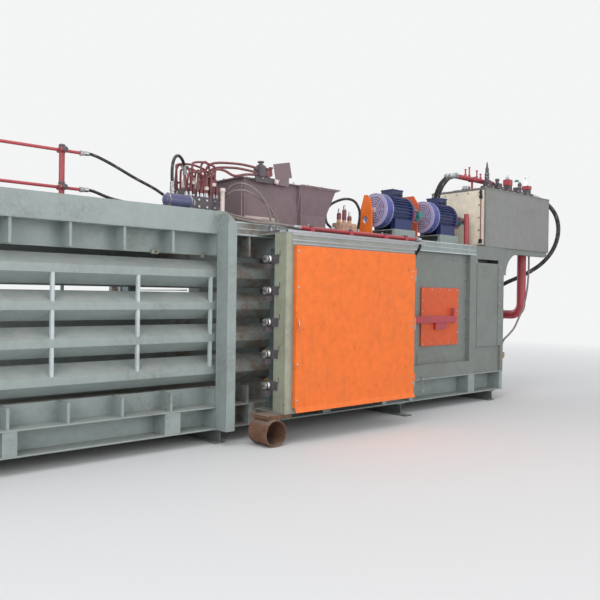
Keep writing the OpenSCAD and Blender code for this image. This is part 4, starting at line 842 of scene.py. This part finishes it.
def dress_valve_block():
    """The manifold with its accumulator, the return block, the relief valves and the drain cock."""
    iron, coils, steel = dress_manifold()
    lilac, rust, red, brass = shapes(4)
    # accumulator with its feet, its straps and the nuts of its two ports
    for x in (-460, -260):
        iron.block((x, -650, 1920), (x + 30, -570, 1954), 3)
    bottle = [(0, 12), (4, 30), (14, 44), (30, 52.5), (50, 55), (225, 55),
              (245, 52.5), (259, 44), (269, 30), (272, 22)]
    lilac.turned((-480, -610, 1985), X, bottle, 32)
    for x in (-445, -245):
        steel.hoop((x, -610, 1985), X, 56, 3.5)
        steel.turned((x, -552, 1985), Y, [(-12, 4), (12, 4)], 8)
    steel.turned((-211, -610, 1985), X, [(0, 30), (14, 30), (14.5, 22), (21, 22)], 6)
    steel.turned((-400, -610, 2036), Z, [(0, 20), (10, 20), (10.5, 16), (24, 16)], 6)
    # return block between the motor and the tank
    iron.block((3530, -210, 1850), (3680, -90, 2040), 6)
    for x in (3546, 3664):
        for y in (-194, -106):
            steel.head((x, y, 2039), Z, 8, 8, 9, 6)
    steel.head((3605, -211, 1930), -Y, 18, 9, 11, 14, 6, sunk=4)
    # relief valves: block, two side plates, three cartridges with their lock nuts, and screws
    rust.block((1560, -560, 1850), (1800, -440, 1970), 6)
    rust.blocks(4, ((1575, -578, 1870), (1655, -559, 1950)), ((1700, -578, 1870), (1785, -559, 1950)))
    for x, top in ((1600, 2080), (1675, 2120), (1750, 2060)):
        rust.turned((x, -500, 1969), Z, [(0, 27), (20, 27), (22, 24), (34, 24)], 6)
        red.turned((x, -500, 2002), Z, [(0, 21), (6, 23), (top - 2022, 23), (top - 2012, 17)], 20)
        tip = [(0, 13), (16, 13), (18, 10), (46, 10), (48, 7)]
        steel.turned((x, -500, top - 12), Z, tip, 12)
        steel.head((x, -500, top + 4), Z, 15, 10, 11, 12, 6)
    for x in (1590, 1640, 1715, 1770):
        for z in (1882, 1938):
            steel.head((x, -578, z), -Y, 6, 5, 6, 4, 10, sunk=2)
    # drain cock with its spout and its lever
    brass.block((4230, -720, 490), (4320, -660, 560), 6)
    spout = [(0, 18), (12, 18), (13, 14), (36, 14), (41, 11)]
    brass.turned((4319, -690, 525), X, spout, 16)
    red.block((4262, -748, 560), (4288, -690, 566))
    brass.head((4275, -690, 559), Z, 10, 10, 12, 6)
    iron.done("manifold_iron", "valve_metal", replaced=("valve_block",))
    coils.done("manifold_coils", "warm_white", slot="cream_paint")
    steel.done("manifold_screws", "plain_steel")
    lilac.done("accumulator", "accumulator_paint", slot="cover_lilac")
    rust.done("relief_valve_blocks", "relief_cream", slot="yellow_paint")
    red.done("relief_valve_stems", "pipe_brown", slot="red_paint")
    brass.done("drain_cock", "yellow_paint")


# Bent pipes over the manifold: both ends along the frame, the top, and the place across
MANIFOLD_LOOPS = [
    (-185, 105, 2345, -300), (-125, 60, 2320, -290), (-110, 105, 2290, -470),
    (-185, -30, 2250, -480), (-40, 45, 2360, -475), (-190, 20, 2200, -285),
    (-160, 75, 2335, -505), (-90, 0, 2270, -505), (-145, -70, 2355, -272),
    (20, 90, 2310, -272), (-10, 108, 2235, -495), (-175, -125, 2310, -455)]
RIM_VALVE_PIPES = [
    [(112, -335, 2059), (112, -335, 2200), (125, -345, 2300), (170, -400, 2345),
     (280, -520, 2345), (380, -600, 2325), (470, -606, 2315)],
    [(85, -345, 2059), (85, -345, 2240), (100, -355, 2340), (150, -410, 2385),
     (280, -540, 2380), (380, -602, 2365), (470, -606, 2355)],
    [(50, -500, 2059), (50, -500, 2220), (70, -520, 2300), (140, -560, 2300),
     (220, -600, 2260), (340, -612, 2285), (455, -612, 2295)]]


def dress_manifold_pipes():
    """Bent pipes, caps and nuts on the manifold, the capped post beside it and the rim valve's pipes."""
    red, cream, steel, dark = shapes(4)
    block_top = 2058
    for k, (x0, x1, top, y) in enumerate(MANIFOLD_LOOPS):
        lean = 50 * ((k % 3) - 1)
        aside, back = lean * 0.4, y + lean
        path = [(x0, y, block_top), (x0, y, 2120), (x0 + aside, back, top - 60),
                (x0 + 12 + aside, back, top - 12), ((x0 + x1) / 2 + aside, back, top + 6),
                (x1 - 12, y + lean * 0.5, top - 14), (x1, y + lean * 0.3, top - 60),
                (x1, y, 2120), (x1, y, block_top)]
        red.bar(smooth_line(path), 9.5, 10)
        for x in (x0, x1):
            steel.turned((x, y, block_top), Z, [(0, 15), (18, 15), (20, 12), (34, 12)], 6)
    caps = (105, -470, 2190), (-110, -470, 2160), (75, -505, 2160), (-185, -300, 2200), (0, -505, 2120)
    for place in caps:
        cream.head(place, Z, 20, 26, 30, 14)
    for y in (-360, -420):
        cream.head((119, y, 2035), X, 12, 12, 15, 9)
    cream.block((60, -640, 1849), (140, -560, 1860))
    post = [(10, 19), (255, 19), (257, 25), (285, 25), (290, 16)]
    cream.turned((100, -600, 1849), Z, post, 20)
    for line in RIM_VALVE_PIPES:
        dark.bar(smooth_line(line), 11, 10)
    dark.done("rim_valve_pipes", "pipe_brown", slot="rusty_steel")
    red.done("manifold_pipes", "pipe_brown", slot="red_paint")
    cream.done("manifold_caps", "warm_white", slot="cream_paint")
    steel.done("manifold_nuts", "plain_steel")


def dress_rim_valve():
    """The valve on the hopper's rim, with its stem, its knob and the plate that guards it."""
    body, knob, plate, stem = shapes(4)
    body.block((440, -622, 2235), (660, -602, 2285), 3)
    body.block((465, -640, 2280), (545, -576, 2385), 8)
    wheel = [(0, 26), (10, 26), (14, 16), (22, 16), (26, 30), (36, 30), (40, 22)]
    body.turned((505, -606, 2384), Z, wheel, 16)
    body.turned((465, -606, 2345), -X, [(-4, 20), (18, 20), (20, 14), (32, 14)], 6)
    body.turned((465, -606, 2305), -X, [(-4, 18), (18, 18), (20, 13), (30, 13)], 6)
    stem.turned((585, -606, 2284), Z, [(0, 24), (55, 24), (60, 17), (88, 17)], 16)
    stem.block((545, -630, 2300), (625, -585, 2335), 4)
    stem.turned((620, -606, 2334), Z, [(0, 14), (35, 14), (38, 20), (50, 20)], 12)
    grip = [(-4, 10), (12, 10), (16, 20), (30, 22), (38, 14)]
    knob.turned((655, -625, 2252), -Y, grip, 20)
    plate.block((660, -612, 2295), (860, -602, 2440), 3, Matrix.Rotation(PLATE_LEAN, 3, "Y"))
    plate.block((690, -608, 2235), (840, -598, 2330), 3)
    body.done("rim_valve", "valve_metal")
    stem.done("rim_valve_stem", "pipe_brown", slot="red_paint")
    knob.done("rim_knob", "warm_white", slot="cream_paint")
    plate.done("rim_guard_plate", "hopper_paint")


LID_VALVES_AT = (0, -550, 2558)
SPINDLE = [(0, 28), (100, 28), (110, 22), (155, 22), (175, 14), (238, 6)]
TALL_CAP = [(0, 26), (50, 26), (54, 20), (100, 20), (118, 28), (130, 28), (135, 20)]


def dress_tank_valves():
    """The five valves on the tank's lid."""
    kinds = iron, grey, steel, red, teal = shapes(5)
    move(kinds, LID_VALVES_AT)
    for x in (4150, 4380, 4610, 4840, 5070):
        iron.block((x - 70, -60, 0), (x + 70, 60, 70), 6)
        iron.block((x - 45, -40, 69), (x + 45, 40, 130), 5)
        steel.turned((x + 69, 0, 38), X, [(0, 24), (14, 24), (16, 19), (41, 19)], 6)
        for dx in (-55, 55):
            for y in (-47, 47):
                steel.head((x + dx, y, 69), Z, 8, 7, 8, 5)
    # what stands on each body, from the motors' end: spindle, knob, cap on a red body, cap, tall cap
    iron.turned((4135, 0, 129), Z, SPINDLE, 20)
    steel.hoop((4135, 0, 180), Z, 29, 3, 24)
    steel.hoop((4135, 0, 220), Z, 28, 3, 24)
    iron.turned((4365, 0, 129), Z, [(0, 22), (30, 22), (34, 28), (55, 28), (60, 20)], 20)
    red.block((4565, -45, 128), (4655, 45, 205), 5)
    red.block((4575, -50, 4), (4645, -59.5, 66), 3)
    steel.bolt((4595, 0, 204), Z, 40, 30)
    steel.head((4595, 0, 236), Z, 12, 20, 23, 8)
    grey.turned((4825, 0, 129), Z, [(0, 28), (64, 28), (66, 24), (72, 24)], 24)
    teal.head((4825, 0, 199), Z, 27, 22, 30, 18, 24)
    iron.block((4800, -52, 130), (4860, -41, 190), 3, Matrix.Rotation(LEVER_LEAN, 3, "Y"))
    red.block((5020, -48, 128), (5120, 48, 176), 5)
    grey.turned((5055, 0, 175), Z, TALL_CAP, 24)
    move(kinds, CENTRE)
    return kinds


def dress_tank():
    """Lid valves, level gauge, end cover, pipe clamps, and the bolts of flanges and manhole."""
    iron, grey, steel, red, teal = dress_tank_valves()
    gauge, black, cover = shapes(3)
    # level gauge, and the end cover with its bolts, whose pale cream is painted light on the tank's lit left
    # end
    move((gauge, black), (3800, -690, 0))
    gauge.turned((0, 0, 1930), Z, [(0, 6), (520, 6)], 16)
    for z in (1895, 2425):
        black.block((-15, -18, z), (21, 18, z + 45), 4)
    black.block((-13, -12, 2463), (13, 12, 2530), 4)
    cover.block((3812, -725, 1875), (3820.5, 25, 2530))
    for y, z in rim_places((-660, 1900), (0, 2505), (160, 0), (0, 0), (170, 150)):
        steel.bolt((3812, y, z), -X, 13, 8)
    # clamps and capped nozzles of the red pipes over the tank
    for x in (3950, 4280):
        red.block((x, -500, 2672), (x + 30, -400, 2728), 4)
        red.block((x + 4, -460, 2560), (x + 26, -440, 2674))
        steel.bolts([(x + 15, y, 2727) for y in (-492, -450, -408)], Z, 10, 7, False)
    for x, tall in ((3780, 75), (3860, 110), (4020, 90), (4100, 60)):
        nozzle = [(0, 16), (30, 16), (32, 9), (tall, 9), (tall + 3, 14), (tall + 14, 14)]
        red.turned((x, -480, 2712), Z, nozzle, 12)
    # bolts of both flanges of the prefill pipe; filler cap; bolts of the manhole
    steel.bolts(around((5060, -500, 1835), X, Y, 71, 8), -Z, 13, 8)
    steel.bolts(around((5060, -207, 1018.25), X, Z, 71, 8), -Y, 13, 8)
    steel.turned((4120, -250, 2615), Z, [(0, 52), (4, 58), (30, 58), (38, 50), (42, 20)], 32)
    steel.bolts(around((4720, -130, 2580), X, Y, 130, 10, 0), Z, 13, 8)
    iron.done("tank_valve_iron", "valve_metal", replaced=("tank_valves",))
    gauge.done("level_gauge_tube", "pipe_brown", slot="red_paint")
    black.done("level_gauge_ends", "black_rubber")
    cover.done("tank_end_cover_lit", "end_cover_cream", slot="cream_paint")
    steel.done("tank_fittings", "plain_steel")
    # The caps take the rollers' near-white: painted highlight
    grey.done("tank_valve_caps", "roller_steel")
    red.done("tank_valve_bodies", "red_paint")
    teal.done("tank_valve_teal", "pump_teal")


def dress_post_and_pipes():
    """Clamps with knobs on the outlet post, clamps on the cabinet's pipes, small fittings on the walls."""
    red, dark, steel, cream = shapes(4)
    # clamps of the choke's two pipes on their post, and the post's foot
    for z in (2010, 2285):
        red.block((-1268, -476, z - 18), (-1212, -404, z + 18), 4)
        staple = [(-476, -10), (-492, -6), (-492, 6), (-476, 10)]
        steel.bar([(-1262, y, z + up) for y, up in staple], 3, 8)
        grip = [(0, 8), (14, 8), (18, 18), (32, 20), (38, 12)]
        dark.turned((-1240, -476, z), -Y, grip, 16)
        dark.turned((-1240, -440, z + 18), Z, [(0, 16), (4, 24), (22, 24), (28, 14)], 16)
    red.block((-1300, -500, 1744), (-1180, -380, 1754))
    steel.bolts([(x, y, 1753) for x in (-1285, -1195) for y in (-485, -395)], Z, 15, 9)
    # clamps of the cabinet's pipes, and screws of its top
    for x in (700, 1180, 1660, 1960):
        dark.block((x + 2, -1066, 1823.5), (x + 38, -954, 1840), 3)
        steel.bolt((x + 20, -1010, 1839), Z, 13, 8)
    for x in spaced(750, 1950, 200):
        steel.head((x, -1126.5, 1768), -Y, 6, 3, 4, 4, sunk=1)
    # plugs and a boss on the rear wall, where the drain hose ends
    for z, r in ((980, 20), (700, 23), (620, 14)):
        neck = [(0, r), (16, r), (17, r * 0.7), (40, r * 0.7), (42, r * 0.85), (58, r * 0.85)]
        cream.turned((4229, -700, z), X, neck, 6)
    dark.head((4229, -660, 740), X, 28, 30, 40, 18, 16)
    # two small fittings on the chamber's side
    cream.blocks(4, ((-575, -612, 1548), (-515, -579, 1580)), ((-105, -612, 1540), (-65, -579, 1570)))
    dark.head((-545, -611, 1564), -Y, 10, 12, 15, 7, 6)
    dark.head((-85, -611, 1555), -Y, 9, 10, 14, 6, 6)
    # blank plate on the beam, and two thin lines down the press wall with their clips
    cream.block((400, -756, 1846), (600, -749.5, 1895))
    steel.bolts([(x, -755.5, 1868) for x in (430, 570)], -Y, 13, 8)
    for x in (2620, 2642):
        drop = [(0, -703, 620), (0, -705, 500), (5, -728, 440), (20, -752, 380), (25, -755, 200)]
        cream.bar(smooth_line([(x + dx, y, z) for dx, y, z in drop]), 4.5, 8)
    for z in (220, 340):
        steel.block((2630, -762, z), (2685, -749.5, z + 14))
    red.done("pipe_clamps_red", "red_paint")
    dark.done("clamp_knobs", "valve_metal")
    steel.done("clamp_screws", "plain_steel")
    cream.done("small_fittings", "cream_paint")


def dress_hopper():
    """Rim strips and corner strips of the feed hopper, whose pale pink is painted highlight on its edges, and
    its bolts.
    """
    low, high = box("hopper")
    rim, bolts = shapes(2)
    for x, y in rim_places(low.xy, high.xy, (50, 150), (15, 18), (170, 170)):
        bolts.bolt((x, y, high.z), Z, 13, 8)
    rim.blocks(1, ((330, -565, 1855), (342, -557.5, 2235)), ((1030, -562, 1875), (1038, -557.5, 2140)))
    rim.block((345, -572, 1880), (720, -557.5, 1935), 3)
    rim.blocks(2, ((985, -622, 2256), (1470, -607.5, 2272)), ((1477.5, -600, 2256), (1486.5, 600, 2272)))
    bolts.done("hopper_bolts", "plain_steel")
    rim.done("hopper_edge_highlight_strips", "rim_pink", slot="bright_bars")


def dress_rollers():
    """Dark rings laid in the wire groove of each of the five guide rollers as painted shade, between rims whose
    near-white is painted highlight.
    """
    for k in range(1, 6):
        low, high = box(f"guide_roller_{k}")
        middle = (low + high) / 2
        groove = Shape()
        for shift in (-6, 0, 6):
            groove.hoop(middle + X * shift, X, (high.z - low.z) / 2 - 11, 3.5)
        groove.done(f"roller_groove_shade_{k}", "valve_metal", f"roller_{k}")


def dress_door():
    """Stiffeners, pull and screws of the big door; screws of the hatch and weld seams of its arm."""
    skin, steel, seams, screws = shapes(4)
    skin.blocks(6, *(((x, -1132, 420), (x + 70, -1108, 1540)) for x in (950, 1620)))
    skin.block((1020, -1131, 950), (1620, -1112, 1000), 5)
    skin.block((462, -1172, 930), (500, -1163, 1050), 3)
    pull = [(-1168, 950), (-1176, 958), (-1179, 990), (-1176, 1022), (-1168, 1030)]
    steel.bar([(481, y, z) for y, z in pull], 4.5, 10)
    for z in (360, 660, 1300, 1600):
        steel.head((477, -1163.5, z), -Y, 9, 4, 6, 5, sunk=1)
    steel.bolts([(1965, -1163.5, z + up) for z in (430, 975, 1450) for up in (-30, 30)], -Y, 11, 7)
    low, high = box("hatch_door")
    for x, z in rim_places(low.xz, high.xz, (30, 140), (22, 22), (150, 120)):
        screws.turned((x, low.y + 0.5, z), -Y, SCREW_HEAD, 12)
    for z in (1028, 954):
        seams.seam((2720, low.y, z), (3240, low.y, z), 5)
    skin.done("door_stiffeners", "orange_paint", "door")
    steel.done("door_screws", "plain_steel", "door")
    screws.done("hatch_screws", "plain_steel", "hatch")
    seams.done("arm_weld_seams", "red_paint", "hatch")


lay_hoses(BLACK_HOSES, "black_rubber", "black_hoses")
lay_hoses(THIN_HOSES, "pale_rubber", "thin_hoses")
for dress in (weld_frame, bolt_frame, strip_edges, dress_motors, dress_valve_block, dress_manifold_pipes,
              dress_rim_valve, dress_tank, dress_post_and_pipes, dress_hopper, dress_rollers, dress_door):
    dress()


def make_floor():
    """Plain pale floor that carries the baler's shadow, and fades into the backdrop far away."""
    material, t, shader = blank("pale_floor")
    place = t.place()
    cloud = t.span(t.noise(place, 0.8, 4.0), 0.3, 0.7, 0.0, 0.05)
    t.feed(shader.inputs["Base Color"], t.blend(cloud, FLOOR_WHITE, FLOOR_SHADE))
    shader.inputs["Roughness"].default_value = 0.85
    backdrop = t.add("ShaderNodeEmission", {"Color": BACKDROP_WHITE, "Strength": BACKDROP_LEVEL})
    away = t.add("ShaderNodeVectorMath", {0: place}, operation="LENGTH").outputs["Value"]
    seen = t.add("ShaderNodeLightPath").outputs["Is Camera Ray"]
    fade = t.times(t.span(away, 6.0, 16.0), seen)
    mixed = t.add("ShaderNodeMixShader", {0: fade, 1: shader.outputs[0], 2: backdrop.outputs[0]})
    outlet = next(node for node in t.nodes if node.bl_idname == "ShaderNodeOutputMaterial")
    t.feed(outlet.inputs["Surface"], mixed.outputs[0])
    mesh = bpy.data.meshes.new("floor")
    body = bmesh.new()
    bmesh.ops.create_grid(body, x_segments=8, y_segments=8, size=60)
    body.to_mesh(mesh)
    body.free()
    floor = bpy.data.objects.new("floor", mesh)
    mesh.materials.append(material)
    bpy.context.scene.collection.objects.link(floor)


def area_lamp(name, place, aim, size, watts):
    lamp = bpy.data.lights.new(name, "AREA")
    lamp.shape, lamp.size, lamp.energy = "SQUARE", size, watts
    thing = bpy.data.objects.new(name, lamp)
    thing.location = place
    thing.rotation_euler = (Vector(aim) - Vector(place)).to_track_quat("-Z", "Y").to_euler()
    bpy.context.scene.collection.objects.link(thing)


def make_light():
    """A white backdrop for what the camera and mirrors see, soft sky light, and four large lamps."""
    world = bpy.data.worlds.new("studio")
    bpy.context.scene.world = world
    world.use_nodes = True
    world.node_tree.nodes.clear()
    t = Tree(world.node_tree)
    rays = t.add("ShaderNodeLightPath").outputs
    seen = t.plus(rays["Is Camera Ray"], rays["Is Glossy Ray"], rays["Is Transmission Ray"], clamp=True)
    soft = t.add("ShaderNodeBackground", {"Color": SKY_WHITE, "Strength": 0.66})
    white = t.add("ShaderNodeBackground", {"Color": BACKDROP_WHITE, "Strength": BACKDROP_LEVEL})
    mixed = t.add("ShaderNodeMixShader", {0: seen, 1: soft.outputs[0], 2: white.outputs[0]})
    t.feed(t.add("ShaderNodeOutputWorld").inputs["Surface"], mixed.outputs[0])
    area_lamp("sky_light", (-2.0, -3.0, 9.0), (1.0, -0.5, 1.0), 7.0, 290)
    area_lamp("left_light", (-8.0, -6.0, 3.4), (0.0, -0.5, 1.0), 4.0, 250)
    area_lamp("front_light", (3.0, -10.0, 3.0), (1.5, 0.0, 1.2), 5.0, 210)
    area_lamp("back_light", (2.0, 9.0, 6.0), (1.0, 0.0, 1.2), 5.0, 300)


def make_camera():
    """The camera of the photograph."""
    data = bpy.data.cameras.new("photo_camera")
    data.sensor_width, data.lens = SENSOR_MM, FOCAL_PX * SENSOR_MM / PHOTO_PX
    camera = bpy.data.objects.new("photo_camera", data)
    turn = Matrix.Rotation(math.radians(-CAMERA_TURN), 4, "Z")
    dip = Matrix.Rotation(math.radians(90 - CAMERA_DIP), 4, "X")
    roll = Matrix.Rotation(math.radians(CAMERA_ROLL), 4, "Z")
    camera.matrix_world = Matrix.Translation(CAMERA_AT) @ turn @ dip @ roll
    bpy.context.scene.collection.objects.link(camera)
    bpy.context.scene.camera = camera


make_floor()
make_light()
make_camera()
bpy.context.scene.view_settings.view_transform = "Standard"
